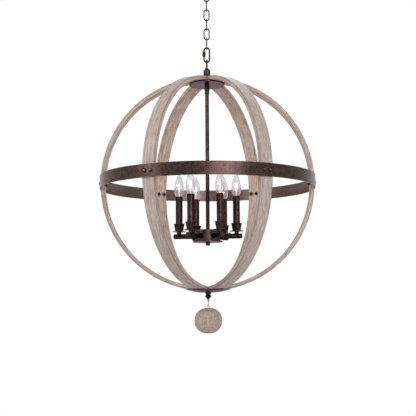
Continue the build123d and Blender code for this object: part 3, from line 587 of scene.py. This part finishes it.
def rib_strip(number):
    """A rib's patch, and each point's place in the plank before bending.

    The strip's section, lightly rounded, is carried along half an ellipse. At angle t from the pole
    and depth d the point lies (RX - d) sin t from the axis and (RZ - d) cos t over the middle. Its
    distance across is held inside the wedge of 30 degrees each side of the rib's own line.
    """
    half = RIB_W / 2
    section, worn, _ = eased([(half, 0), (half, RIB_T), (-half, RIB_T), (-half, 0)], RIB_EASE, RIB_WEAR)
    across, depth = section.T
    t = np.linspace(asin(TIP_TOP_R / RIB_RX), pi - asin(TIP_FOOT_R / RIB_RX), RIB_STEPS)[:, None]
    x, z = (RIB_RX - depth) * np.sin(t), ORB_Z + (RIB_RZ - depth) * np.cos(t)
    room_across = np.maximum(x - MITRE_APEX, 0) * tan(pi / 6)
    y = np.clip(across + 0 * t, -room_across, room_across)
    run = np.cumsum(np.hypot(np.gradient(RIB_RX * np.sin(t[:, 0])), np.gradient(RIB_RZ * np.cos(t[:, 0]))))
    along = run[:, None] + PLANK_ALONG * number
    plank = np.stack([along + 0 * y, y + PLANK_ACROSS * number, depth + 0 * y], 2)
    patch = (np.stack([x, y, z], 2), np.repeat(worn[None], len(t), 0), False)
    return put(patch, Matrix.Rotation(pi / 3 * number, 4, "Z")), plank


def oak(name):
    """Weathered oak on the plank's own coordinates (along, across, depth in mm): soft bands, fibre and
    pores drawn out along the grain, a silvery outer face, a warmer and paler inner one, brown edges."""
    f = surface(name, Specular_IOR_Level=0.3)
    place = f.carried("plank", "Vector")
    band = f.mottle(f.stretched(place, (0.007, 0.22, 0.14)), 1.0, 5.0, 0.65)
    fibre = f.mottle(f.stretched(place, (0.035, 0.62, 0.5)), 1.0, 4.0, 0.7)
    pore = f.mottle(f.stretched(place, (0.03, 1.9, 1.5)), 1.0, 2.0, 0.6)
    blotch = f.mottle(f.stretched(place, (0.02, 0.04, 0.02)), 1.0, 2.0)
    inside = f.part(place, "Z").rise(*WOOD_SKIN)
    outer = f.blend(band.rise(0.36, 0.62), tone("ab9990"), tone("c6b8b0"))
    inner = f.blend(band.rise(0.36, 0.62), tone("c9ae9d"), tone("e8d1c1"))
    colour = f.blend(inside, outer, inner)
    colour = f.blend(0.75 * fibre.rise(0.49, 0.34), colour, tone("7d685c"))
    colour = f.blend(0.7 * fibre.rise(0.54, 0.68), colour, tone("e0d3cb"))
    colour = f.blend(0.75 * pore.rise(0.44, 0.32), colour, tone("634f45"))
    colour = f.blend(0.35 * blotch.rise(0.5, 0.75), colour, tone("8d7b70"))
    colour = f.blend(0.5 * blotch.rise(0.5, 0.3) * inside, colour, tone("9a7a64"))
    colour = f.blend(0.6 * f.carried("worn").rise(0.2, 1.0), colour, tone("77594a"))
    f.lay(
        Base_Color=colour,
        Roughness=0.62 + 0.2 * (fibre - 0.5),
        Normal=f.bump(0.35, 0.0005, fibre + 0.8 * pore.rise(0.3, 0.45)),
    )
    return f


weathered_oak = oak("weathered_oak")
for n in range(6):
    strip, plank = rib_strip(n)
    rib = piece(f"rib_strip_{n + 1}", [strip], weathered_oak, plank)
    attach(rib, "orb")
    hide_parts(f"rib_{n + 1}")


# ---------------------------------------------------------------- band
# A rolled steel strip, 41 by 2.5 mm, welded into a ring round the ribs and finished dark bronze. At
# each rib two domed bolts run through band and wood into square nuts. The ring and nuts are CAD's own.
BAND_R, BAND_HALF = 355.6, 20.5
BOLT_SPACING, BOLT_R, BOLT_L = 21.0, 3.0, 23.3
DOME_R, DOME_H = 6.2, 3.8


def near_band_edge(f, place):
    """1 along the band's two edges, 0 from 2 mm inside them."""
    off = f.node("Math", {"operation": "ABSOLUTE"}, {0: f.part(place, "Z") - ORB_Z / MM})
    return off.rise((BAND_HALF - 2) / MM, (BAND_HALF - 0.1) / MM)


def inside_band(f, place):
    """1 on the band's inner face, which is painted paler there as painted light."""
    flat = f.stretched(place, (1.0, 1.0, 0.0))
    out = f.node("VectorMath", {"operation": "LENGTH"}, {0: flat}, "Value")
    return out.rise((BAND_R - 0.6) / MM, (BAND_R - 1.6) / MM)


def bolt_outline():
    """The bolt's outline from the top of its dome, and its wear, which at the dome's top is partly rubbed
    wear and partly a painted highlight: at t from 0 to 1 the dome's radius goes as sin(t pi / 2) and
    its height as cos(t pi / 2) to the power of 0.8."""
    t = np.linspace(0, 1, 12)
    dome = np.stack([DOME_R * np.sin(t * pi / 2), DOME_H * np.cos(t * pi / 2) ** 0.8], 1)
    # Copper strongest at each dome's top: partly rubbed wear, partly a painted highlight.
    worn = np.concatenate([1.3 * np.cos(t * pi / 2) ** 3, [0, 0.5, 0.5]])
    return np.vstack([dome, (BOLT_R, 0), (BOLT_R, -BOLT_L), (0, -BOLT_L)]), worn


band_tones = ("2b2221", "433532")
# The band's inner face is painted paler as painted light; its edges are rubbed to copper.
dress("band", bronze("band_bronze", 0.31, 0.35, band_tones, "fff6fa", 0.7, near_band_edge, inside_band))
bolt_bronze = bronze("bolt_bronze", 0.3, 0.4, ("1b1413", "30221e"))
dress("band_nuts", bolt_bronze)
bolts = [
    put(
        spun(*bolt_outline(), False, 28),
        Matrix.Rotation(pi / 2, 4, "Y"),
        Matrix.Translation((BAND_R, across, ORB_Z)),
        Matrix.Rotation(pi / 3 * n, 4, "Z"),
    )
    for n in range(6) for across in (-BOLT_SPACING / 2, BOLT_SPACING / 2)
]
bolt_heads = piece("band_bolt_heads", bolts, bolt_bronze)
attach(bolt_heads, "orb")
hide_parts("band_bolts")


# ---------------------------------------------------------------- coupling and stem
# A steel tube, threaded at both ends, hangs from the crown's shank by a sleeve coupling under the
# disc, and carries the hub on its lower thread. Its edges are rubbed to copper.
COUPLING_LOW, COUPLING_R = -417.06, 8.0
STEM_R, STEM_BORE_R, HUB_TOP = 6.35, 3.0, -874.3
COUPLING_TOP = DISC_LOW - SEAT
coupling = piece("stem_sleeve", [turned(
    (BORE_R, COUPLING_LOW), (COUPLING_R, COUPLING_LOW), (COUPLING_R, COUPLING_TOP), (BORE_R, COUPLING_TOP),
    ease=0.6)], dark_bronze)
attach(coupling, "orb")
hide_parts("stem_coupling")

stem_bronze = bronze("stem_bronze", 0.26, 0.6, ("211714", "3c2b26"), rim="6e564f", speck=0.5)
STEM_LOW, STEM_TOP = foot_and_top("stem")[0], COUPLING_LOW + THREAD_L
TUBE_LOW, TUBE_TOP = HUB_TOP + SEAT, COUPLING_LOW - SEAT
stem = piece("stem_tube", [turned(
    (STEM_BORE_R, STEM_TOP), (THREAD_R, STEM_TOP), (THREAD_R, TUBE_TOP), (STEM_R, TUBE_TOP),
    (STEM_R, TUBE_LOW), (THREAD_R, TUBE_LOW), (THREAD_R, STEM_LOW), (STEM_BORE_R, STEM_LOW),
    sides=48)], stem_bronze)
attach(stem, "orb")
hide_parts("stem")


# ---------------------------------------------------------------- hub
# A spun drum with a shoulder, open below, closed by a turned cover that a round knob holds on the
# stem's end. A zinc nut, CAD's own, locks the drum from inside.
HUB_R, HUB_SHOULDER, HUB_WALL = 41.0, 4.0, 2.2
COVER_TOP, COVER_LOW, COVER_R = -911.3, -915.9, 48.5
KNOB_R, KNOB_FOOT_R, KNOB_H, KNOB_CHAMFER, KNOB_HOLE = 7.5, 5.6, 11.0, 1.9, 8.8
hub_bronze = bronze("hub_bronze", 0.38, 0.25, ("352a2a", "4f4140"))
HUB_SIDE_TOP, HUB_INNER_R = HUB_TOP - HUB_SHOULDER, HUB_R - HUB_WALL
drum = piece("hub_drum", [turned(
    (BORE_R, HUB_TOP), (HUB_R - 1.5 * HUB_SHOULDER, HUB_TOP), (HUB_R, HUB_SIDE_TOP), (HUB_R, COVER_TOP),
    (HUB_INNER_R, COVER_TOP), (HUB_INNER_R, HUB_SIDE_TOP - HUB_WALL), (BORE_R, HUB_SIDE_TOP - HUB_WALL),
    ease=1.0, wear=2.4, sides=96)], hub_bronze)
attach(drum, "orb")
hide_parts("hub")
dress("hub_nut", zinc)

cover = piece("hub_plate", [turned(
    (BORE_R, COVER_LOW), (COVER_R, COVER_LOW), (COVER_R, COVER_TOP - SEAT), (BORE_R, COVER_TOP - SEAT),
    ease=1.0, wear=2.4, sides=96)], hub_bronze)
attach(cover, "orb")
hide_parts("hub_cover")

KNOB_TOP, KNOB_LOW, KNOB_FLOOR = COVER_LOW - SEAT, COVER_LOW - KNOB_H, COVER_LOW - KNOB_HOLE
knob = piece("hub_button", [turned(
    (0, KNOB_FLOOR), (BORE_R, KNOB_FLOOR), (BORE_R, KNOB_TOP), (KNOB_R, KNOB_TOP),
    (KNOB_R, KNOB_LOW + KNOB_CHAMFER), (KNOB_FOOT_R, KNOB_LOW), (0, KNOB_LOW), ease=0.8)], hub_bronze)
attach(knob, "orb")
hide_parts("hub_knob")


# ---------------------------------------------------------------- arms
# Six straight tubes pass through the drum's wall, each with a turned plug in its open end, whose
# raised button is rubbed to copper.
ARM_Z, ARM_R, ARM_WALL, ARM_START, ARM_END = -896.0, 8.25, 1.8, 31.8, 111.0
PLUG_R, PLUG_L = 6.4, 5
ARM_TURNS = [radians(60 * n - 5) for n in range(6)]


def six_round(patch, *moves):
    """Six copies of a patch, round the stem."""
    return [put(patch, *moves, Matrix.Rotation(turn, 4, "Z")) for turn in ARM_TURNS]


outwards = Matrix.Translation((0, 0, ARM_Z)) @ Matrix.Rotation(pi / 2, 4, "Y")
tubes = piece("arm_tubes", six_round(turned(
    (ARM_R - ARM_WALL, ARM_START), (ARM_R, ARM_START), (ARM_R, ARM_END), (ARM_R - ARM_WALL, ARM_END),
    sides=40), outwards), tube_bronze)
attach(tubes, "orb")
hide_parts("arms")

plug_face = [(ARM_R, 2.4), (4.6, 2.4), (4.2, 1.9), (3.2, 2.8), (2.2, 3.3), (0, 3.3)]
plugs = piece("arm_plugs", six_round(turned(
    (0, ARM_END - PLUG_L), (PLUG_R, ARM_END - PLUG_L), (PLUG_R, ARM_END + SEAT), (ARM_R, ARM_END + SEAT),
    *[(r, ARM_END + out) for r, out in plug_face], wear=0.9, sides=40), outwards), bolt_bronze)
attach(plugs, "orb")
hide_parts("arm_caps")


# ---------------------------------------------------------------- candles
# On each arm a threaded tube carries a collar, a flat drip pan, a flared cup and a straight sleeve of
# bronzed steel tube, and at its top a moulded socket with a brass screw shell.
CANDLE_R = 95.0
POST_R, POST_BORE_R, POST_HOLE_R, POST_COLLAR_R, POST_COLLAR_LOW = 5.0, 3.0, 5.05, 7.5, -887.75
PAN_Z, PAN_R = -880.55, 23.75
CUP_Z, CUP_FLOOR_R = -879.15, 12
SLEEVE_Z, SLEEVE_TOP, SLEEVE_R, SLEEVE_BORE_R = -877.65, -763.65, 11.5, 10.2
SOCKET_Z, SOCKET_TOP, SOCKET_FLOOR, SOCKET_R, SOCKET_BORE_R = -806.65, -772.65, -792.7, 9.8, 6.7
SHELL_R, SHELL_BORE_R, SHELL_UP, SHELL_DOWN = 6.65, 6.05, 4.4, 1
out_to_arm = Matrix.Translation((CANDLE_R, 0, 0))


def stand(name, node, finish, slot, *corners, **way):
    """Six like turned pieces, one over each arm's end."""
    made = piece(name, six_round(turned(*corners, **way), out_to_arm), finish)
    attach(made, "orb")
    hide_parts(node)


stand("candle_stalks", "candle_posts", tube_bronze, "dark_bronze",
      (POST_BORE_R, ARM_Z), (POST_R, ARM_Z), (POST_R, POST_COLLAR_LOW + SEAT),
      (POST_COLLAR_R, POST_COLLAR_LOW + SEAT), (POST_COLLAR_R, PAN_Z - SEAT), (POST_R, PAN_Z - SEAT),
      (POST_R, SOCKET_Z - SEAT), (POST_BORE_R, SOCKET_Z - SEAT), sides=40)
stand("candle_pans", "drip_pans", tube_bronze, "dark_bronze",
      (POST_HOLE_R, PAN_Z), (PAN_R, PAN_Z), (PAN_R, CUP_Z - SEAT), (POST_HOLE_R, CUP_Z - SEAT),
      ease=0.35, wear=1.5)
cup_side = [(13.5, 0), (14.6, 9), (16.2, 18), (17.5, 23.8), (18.7, 24.4), (18.7, 25)]
cup_inside = [(16, 25), (14.7, 18), (13.1, 9)]
stand("candle_bells", "candle_cups", tube_bronze, "dark_bronze",
      (POST_HOLE_R, CUP_Z), *[(r, CUP_Z + up) for r, up in cup_side + cup_inside],
      (CUP_FLOOR_R, SLEEVE_Z), (POST_HOLE_R, SLEEVE_Z), ease=0.5, wear=1.2)
stand("candle_tubes", "candle_sleeves", tube_bronze, "dark_bronze",
      (SLEEVE_BORE_R, SLEEVE_Z + SEAT), (SLEEVE_R, SLEEVE_Z + SEAT), (SLEEVE_R, SLEEVE_TOP),
      (SLEEVE_BORE_R, SLEEVE_TOP), wear=1.6)

moulded_black = surface("moulded_black", Specular_IOR_Level=0.5)
swirl = moulded_black.mottle(moulded_black.here(), 90.0)
moulded_black.lay(
    Base_Color=moulded_black.blend(swirl, tone("1a1917"), tone("2a2826")),
    Roughness=0.35 + 0.2 * swirl,
)
stand("socket_mouldings", "socket_bodies", moulded_black, "socket_black",
      (0, SOCKET_Z), (SOCKET_R, SOCKET_Z), (SOCKET_R, SOCKET_TOP), (SOCKET_BORE_R, SOCKET_TOP),
      (SOCKET_BORE_R, SOCKET_FLOOR), (0, SOCKET_FLOOR))

bright_brass = surface("bright_brass", Metallic=1.0)
tarnish = bright_brass.mottle(bright_brass.here(), 130.0)
bright_brass.lay(
    Base_Color=bright_brass.blend(tarnish, tone("c79a4e"), tone("e2bd73")),
    Roughness=0.2 + 0.25 * tarnish,
)
SHELL_LOW, SHELL_TOP = SOCKET_FLOOR + SHELL_UP, SOCKET_TOP - SHELL_DOWN
stand("socket_threads", "socket_shells", bright_brass, "lamp_brass",
      (SHELL_BORE_R, SHELL_LOW), (SHELL_R, SHELL_LOW), (SHELL_R, SHELL_TOP), (SHELL_BORE_R, SHELL_TOP),
      ease=0.15)
dress("socket_contacts", bright_brass)


# ---------------------------------------------------------------- lamps
# Six clear torpedo lamps, lit. Each is a blown glass envelope on a brass screw base, with a flared
# glass stem, two wires and a bright filament inside, and it unscrews upwards out of its socket.
GLASS_Z, GLASS_R, GLASS_L, GLASS_WALL = -772.35, 15.875, 89.0, 0.8
BASE_Z, TIP_Z = -789.35, -791.75
SCREW_R, SCREW_RIDGE, SCREW_PITCH = 5.65, 0.3, 2.2
FILAMENT_W, FILAMENT_Z, FILAMENT_RISE, FILAMENT_THICK, SUPPORT_THICK = 6.4, 36, 15, 1.9, 0.7


def through(knots, count=12):
    """A smooth line through the knots (Catmull-Rom): between two of them a cubic whose slope at each
    is half the step from the knot before to the knot after."""
    k = np.array(knots, float)
    k = np.vstack([2 * k[0] - k[1], k, 2 * k[-1] - k[-2]])
    t = np.linspace(0, 1, count, endpoint=False)[:, None, None]
    a, b, c, d = k[:-3], k[1:-2], k[2:-1], k[3:]
    curve = b + (c - a) / 2 * t + (2 * a - 5 * b + 4 * c - d) / 2 * t**2 + (3 * b - a - 3 * c + d) / 2 * t**3
    return np.vstack([curve.transpose(1, 0, 2).reshape(-1, k.shape[1]), k[-2:-1]])


def glass_outline():
    """The envelope's outline, up the outside and down the inside: a smooth line through neck, shoulder,
    widest place and tip, the last six in shares of its radius and length, and the same line again,
    moved in by the wall."""
    neck = [(5.95, 0), (6.6, 6), (9.2, 8.7)]
    shares = [(0.88, 0.22), (1.0, 0.36), (0.95, 0.52), (0.71, 0.70), (0.40, 0.86), (0.2, 0.955)]
    body = [(GLASS_R * wide, GLASS_L * up) for wide, up in shares]
    outside = through([*neck, *body, (0, GLASS_L)])
    outside[:, 0] = np.clip(outside[:, 0], 0, GLASS_R)
    inside = outside - (GLASS_WALL, 0)
    inside = inside[(inside[:, 0] > 0.3) & (inside[:, 1] < GLASS_L - 2)]
    inside = np.vstack([inside, (0, GLASS_L - 2 * GLASS_WALL)])
    return np.vstack([outside, inside[::-1]]) + (0, GLASS_Z)


def screw_thread():
    """The base's thread: at angle a and height z the radius is R + ridge sin(2 pi z / pitch - a)."""
    a = np.linspace(0, 2 * pi, 48, endpoint=False)
    z = np.linspace(BASE_Z + 1, GLASS_Z - 2.4, 100)[:, None]
    r = SCREW_R + SCREW_RIDGE * np.sin(2 * pi * z / SCREW_PITCH - a)
    return np.stack([r * np.cos(a), r * np.sin(a), z + 0 * a], 2), 0 * r, False


def filament_wires():
    """The filament, an arch whose height goes as sin(pi t) to the power of 0.7, and its two supports."""
    t = np.linspace(0, 1, 90)
    arch = np.stack([FILAMENT_W * (t - 0.5), FILAMENT_Z + FILAMENT_RISE * np.sin(t * pi) ** 0.7], 1)
    left = through([(-0.8, 24), (-1.8, 29), (-FILAMENT_W / 2, FILAMENT_Z)], 10)
    lines = ((arch, FILAMENT_THICK), (left, SUPPORT_THICK), (left * (-1, 1), SUPPORT_THICK))
    return [wire(line, thick, False, False, 8) for line, thick in lines]


clear_glass = surface("clear_glass", Transmission_Weight=0.85, IOR=1.45, Roughness=0.03)
haze = clear_glass.mottle(clear_glass.here(), 60.0)
clear_glass.lay(Base_Color=clear_glass.blend(haze, tone("f3f0f3"), tone("f8f6f8")))

hot_wire = surface("hot_wire", Roughness=0.5, Emission_Strength=4.5)
heat = hot_wire.mottle(hot_wire.here(), 900.0)
hot_wire.lay(Emission_Color=hot_wire.blend(heat, tone("fff2dc"), tone("ffffff")))

# Painted light: the flared stem glows warm though it gives no light of its own; the glow stands in for the
# filament's light on it.
stem_glass_painted_glow = surface("stem_glass_painted_glow", Transmission_Weight=0.5, IOR=1.5, Roughness=0.2, Emission_Strength=0.8)
amber_and_painted_glow = stem_glass_painted_glow.mottle(stem_glass_painted_glow.here(), 120.0)
stem_glass_painted_glow.lay(
    Base_Color=stem_glass_painted_glow.blend(amber_and_painted_glow, tone("c99b62"), tone("e6c79a")),
    Emission_Color=stem_glass_painted_glow.blend(amber_and_painted_glow, tone("f0bd94"), tone("fbdcc2")),
)

envelope = spun(glass_outline(), None, True, 48)
flare = np.array([
    (0, 0.5), (4.6, 0.5), (4.2, 3), (2.6, 9), (1.6, 16), (1.5, 22), (1.9, 24), (1.2, 26), (0, 26.4)])
glass_stem = spun(flare + (0, GLASS_Z), None, False, 24)
NECK_LOW, NECK_TOP, TIP_RIM = GLASS_Z - 2.6, GLASS_Z - SEAT, BASE_Z + 1.4
screw_base = [
    screw_thread(),
    turned((0, NECK_LOW), (5.9, NECK_LOW), (5.95, NECK_TOP), (0, NECK_TOP), sides=48),
    turned((0, TIP_Z), (2.5, TIP_Z), (4.6, BASE_Z + 0.4), (5.2, TIP_RIM), (0, TIP_RIM), sides=48),
]
lift = Matrix.Translation((0, 0, GLASS_Z))
for n, turn in enumerate(ARM_TURNS):
    place = Matrix.Rotation(turn, 4, "Z") @ out_to_arm
    face = Matrix.Rotation(radians(35 * n + 10), 4, "Z")
    bulb = piece(f"lamp_bulb_{n + 1}", [put(envelope, place)], clear_glass)
    inner = piece(f"lamp_stem_{n + 1}", [put(glass_stem, place)], stem_glass_painted_glow)
    lit_wires = [put(patch, lift, face, place) for patch in filament_wires()]
    coil = piece(f"lamp_filament_{n + 1}", lit_wires, hot_wire)
    base = piece(f"lamp_cap_{n + 1}", [put(patch, place) for patch in screw_base], bright_brass)
    for lamp_piece, slot in zip((bulb, inner, coil, base), ("lamp_glass",) * 3 + ("lamp_brass",)):
        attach(lamp_piece, f"lamp_{n + 1}")
    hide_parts(f"lamp_glass_{n + 1}")
    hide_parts(f"lamp_base_{n + 1}")


# ---------------------------------------------------------------- bottom dish and finial
# A shallow spun dish, part of a hollow ball, drawn up against the ribs by the finial's stud. The
# finial is turned, and ends in a small drilled eye.
DISH_R, DISH_DEPTH, DISH_T, DISH_HOLE_R = 76.0, 12.0, 2.0, 3.2
DISH_LOW = foot_and_top("bottom_dish")[0]
STUD_R, STUD_L, FINIAL_H = 3, 16.9, 20
EYE_MID_R, EYE_BROAD, EYE_DEEP, EYE_SUNK = 2.45, 0.95, 1.1, 0.8


def dish_outline():
    """The dish's outline and wear: out along the lower ball's surface to the rim and back along the
    inner one's, each point at angle t from straight down lying (r sin t, middle - r cos t)."""
    r = (DISH_R**2 + DISH_DEPTH**2) / (2 * DISH_DEPTH)
    inner_r = r - DISH_T
    rim_in = sqrt(inner_r**2 - (r - DISH_DEPTH) ** 2)
    middle = DISH_LOW + r
    below = np.linspace(asin(DISH_HOLE_R / r), asin(DISH_R / r), 28)
    above = np.linspace(asin(DISH_HOLE_R / inner_r), asin(rim_in / inner_r), 28)[::-1]
    points = np.vstack([
        np.stack([r * np.sin(below), middle - r * np.cos(below)], 1),
        np.stack([inner_r * np.sin(above), middle - inner_r * np.cos(above)], 1),
    ])
    return points, np.concatenate([np.clip((below / below.max() - 0.95) / 0.05, 0, 1), 0 * above])


def ring_outline(middle, broad, deep):
    """An eye's section, an ellipse: (middle + broad cos a, deep sin a)."""
    a = np.linspace(0, 2 * pi, 48, endpoint=False)
    return np.stack([middle + broad * np.cos(a), deep * np.sin(a)], 1)


dish = piece("foot_dish", [spun(*dish_outline(), True, 128)], dark_bronze)
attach(dish, "orb")
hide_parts("bottom_dish")

FINIAL_Z = DISH_LOW - SEAT
EYE_Z = FINIAL_Z - FINIAL_H - (EYE_MID_R + EYE_BROAD) + EYE_SUNK
beads = [
    (9.5, 0), (9.5, -2.4), (7.6, -5.2), (8.0, -7.4), (10.5, -10.4), (8.6, -13.6), (5.6, -17),
    (3.4, -FINIAL_H)]
stud = [(0, STUD_L), (STUD_R, STUD_L), (STUD_R, 0)]
turning = np.vstack([*stud, through(beads, 8), (0, -FINIAL_H)]) + (0, FINIAL_Z)
finial = piece("foot_finial", [
    spun(turning, None, False, 56),
    put(spun(ring_outline(EYE_MID_R, EYE_BROAD, EYE_DEEP), np.full(48, 0.4), True, 40),
        Matrix.Rotation(pi / 2, 4, "X"), Matrix.Translation((0, 0, EYE_Z))),
], dark_bronze)
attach(finial, "orb")
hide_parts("finial")


# ---------------------------------------------------------------- ball hook and ball
# An open S hook of thin wire joins the finial's eye to a bright screw eye in the ball. The ball is
# turned from glued blocks of the same oak.
HOOK_R, HOOK_DROP, HOOK_SWEEP, HOOK_WIRE = 4.0, 12.0, 257.0, 2.0
SCREW_EYE_R, SCREW_EYE_WIRE_R = 3.5, 1.1
BALL_R, BALL_HALF, BALL_SQUARE = 44.75, 41.5, 0.89
BLOCK, BLOCK_L = 22.0, 31.0


def hook_line():
    """The S hook's middle line: two arcs of one radius, each swept back from where a straight line
    touches both circles."""
    high = EYE_Z - HOOK_R
    low = high - HOOK_DROP
    touch = atan2(-2 * HOOK_R, sqrt(HOOK_DROP**2 - 4 * HOOK_R**2))
    a = touch + radians(HOOK_SWEEP) * np.linspace(1, 0, 40)
    b = touch + pi + radians(HOOK_SWEEP) * np.linspace(0, 1, 40)
    upper = np.stack([HOOK_R * np.cos(a), high + HOOK_R * np.sin(a)], 1)
    lower = np.stack([HOOK_R * np.cos(b), low + HOOK_R * np.sin(b)], 1)
    return np.vstack([upper, lower])


hook = piece("ball_s_hook", [wire(hook_line(), HOOK_WIRE, True, False, 14)], chain_bronze)
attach(hook, "hook")
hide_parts("ball_hook")

bright_steel = surface("bright_steel", Metallic=1.0)
smear = bright_steel.mottle(bright_steel.here(), 300.0)
bright_steel.lay(
    Base_Color=bright_steel.blend(smear, tone("b9b3a8"), tone("d6d1c8")),
    Roughness=0.25 + 0.2 * smear,
)
SCREW_LOW, SCREW_EYE_TOP = foot_and_top("ball_eye")
RING_Z = SCREW_EYE_TOP - (SCREW_EYE_R + SCREW_EYE_WIRE_R)
SCREW_TOP = RING_Z - SCREW_EYE_R
screw_eye = piece("ball_screw_eye", [
    put(spun(ring_outline(SCREW_EYE_R, SCREW_EYE_WIRE_R, SCREW_EYE_WIRE_R), None, True, 48),
        Matrix.Rotation(pi / 2, 4, "X"), Matrix.Translation((0, 0, RING_Z))),
    spun([(0, SCREW_LOW), (SCREW_EYE_WIRE_R, SCREW_LOW), (SCREW_EYE_WIRE_R, SCREW_TOP), (0, SCREW_TOP)],
         None, False, 20),
], bright_steel)
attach(screw_eye, "ball")
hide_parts("ball_eye")

BALL_Z = foot_and_top("ball")[0] + BALL_HALF


def ball_outline():
    """The ball's outline, a slightly square ellipse: at t from pole to pole the radius is R times
    sin t, and the height half the ball's times cos t, each to the power of 0.89."""
    t = np.linspace(0, pi, 90)
    r = BALL_R * np.sin(t) ** BALL_SQUARE
    r[[0, -1]] = 0
    return np.stack([r, BALL_Z - BALL_HALF * np.sign(np.cos(t)) * np.abs(np.cos(t)) ** BALL_SQUARE], 1)


def block_oak(name):
    """The ribs' oak, glued in blocks: the grain lies level in one and stands upright in the next, each
    block's is shifted along, and a dark line runs at each level joint."""
    f = surface(name, Specular_IOR_Level=0.3)
    place = f.stretched(f.here(), (MM, MM, MM))
    x, y, z = (f.part(place, axis) for axis in "XYZ")
    level = (z - BALL_Z) / BLOCK + 0.5
    layer = f.node("Math", {"operation": "FLOOR"}, {0: level})
    off = f.node("Math", {"operation": "ABSOLUTE"}, {0: level - layer - 0.5})
    column = f.node("Math", {"operation": "FLOOR"}, {0: x / BLOCK_L + 0.4 * layer})
    upright = f.node("Math", {"operation": "MODULO"}, {0: layer + column + 100.0, 1: 2.0})
    along = x * (1.0 - upright) + z * upright + 170.0 * layer + 410.0 * column
    across = z * (1.0 - upright) + x * upright
    plank = f.node("CombineXYZ", {}, {0: along, 1: across, 2: y + 90.0 * layer})
    band = f.mottle(f.stretched(plank, (0.012, 0.3, 0.2)), 1.0, 5.0, 0.65)
    fibre = f.mottle(f.stretched(plank, (0.04, 0.8, 0.6)), 1.0, 4.0, 0.7)
    pore = f.mottle(f.stretched(plank, (0.05, 2.4, 2.0)), 1.0, 2.0, 0.6)
    colour = f.blend(band.rise(0.34, 0.64), tone("9c897c"), tone("c4b1a3"))
    colour = f.blend(0.7 * fibre.rise(0.49, 0.34), colour, tone("7a665a"))
    colour = f.blend(0.7 * fibre.rise(0.54, 0.68), colour, tone("d8c9bc"))
    colour = f.blend(0.7 * pore.rise(0.44, 0.32), colour, tone("634f45"))
    colour = f.blend(0.35 * off.rise(0.475, 0.495), colour, tone("5e4c42"))
    f.lay(
        Base_Color=colour,
        Roughness=0.6 + 0.2 * (fibre - 0.5),
        Normal=f.bump(0.35, 0.0006, fibre + 0.8 * pore.rise(0.3, 0.45) - 0.8 * off.rise(0.47, 0.495)),
    )
    return f


ball = piece("wooden_ball", [spun(ball_outline(), None, False, 96)], block_oak("block_oak"))
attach(ball, "ball")
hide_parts("ball")

bpy.context.scene.view_settings.view_transform = "Standard"
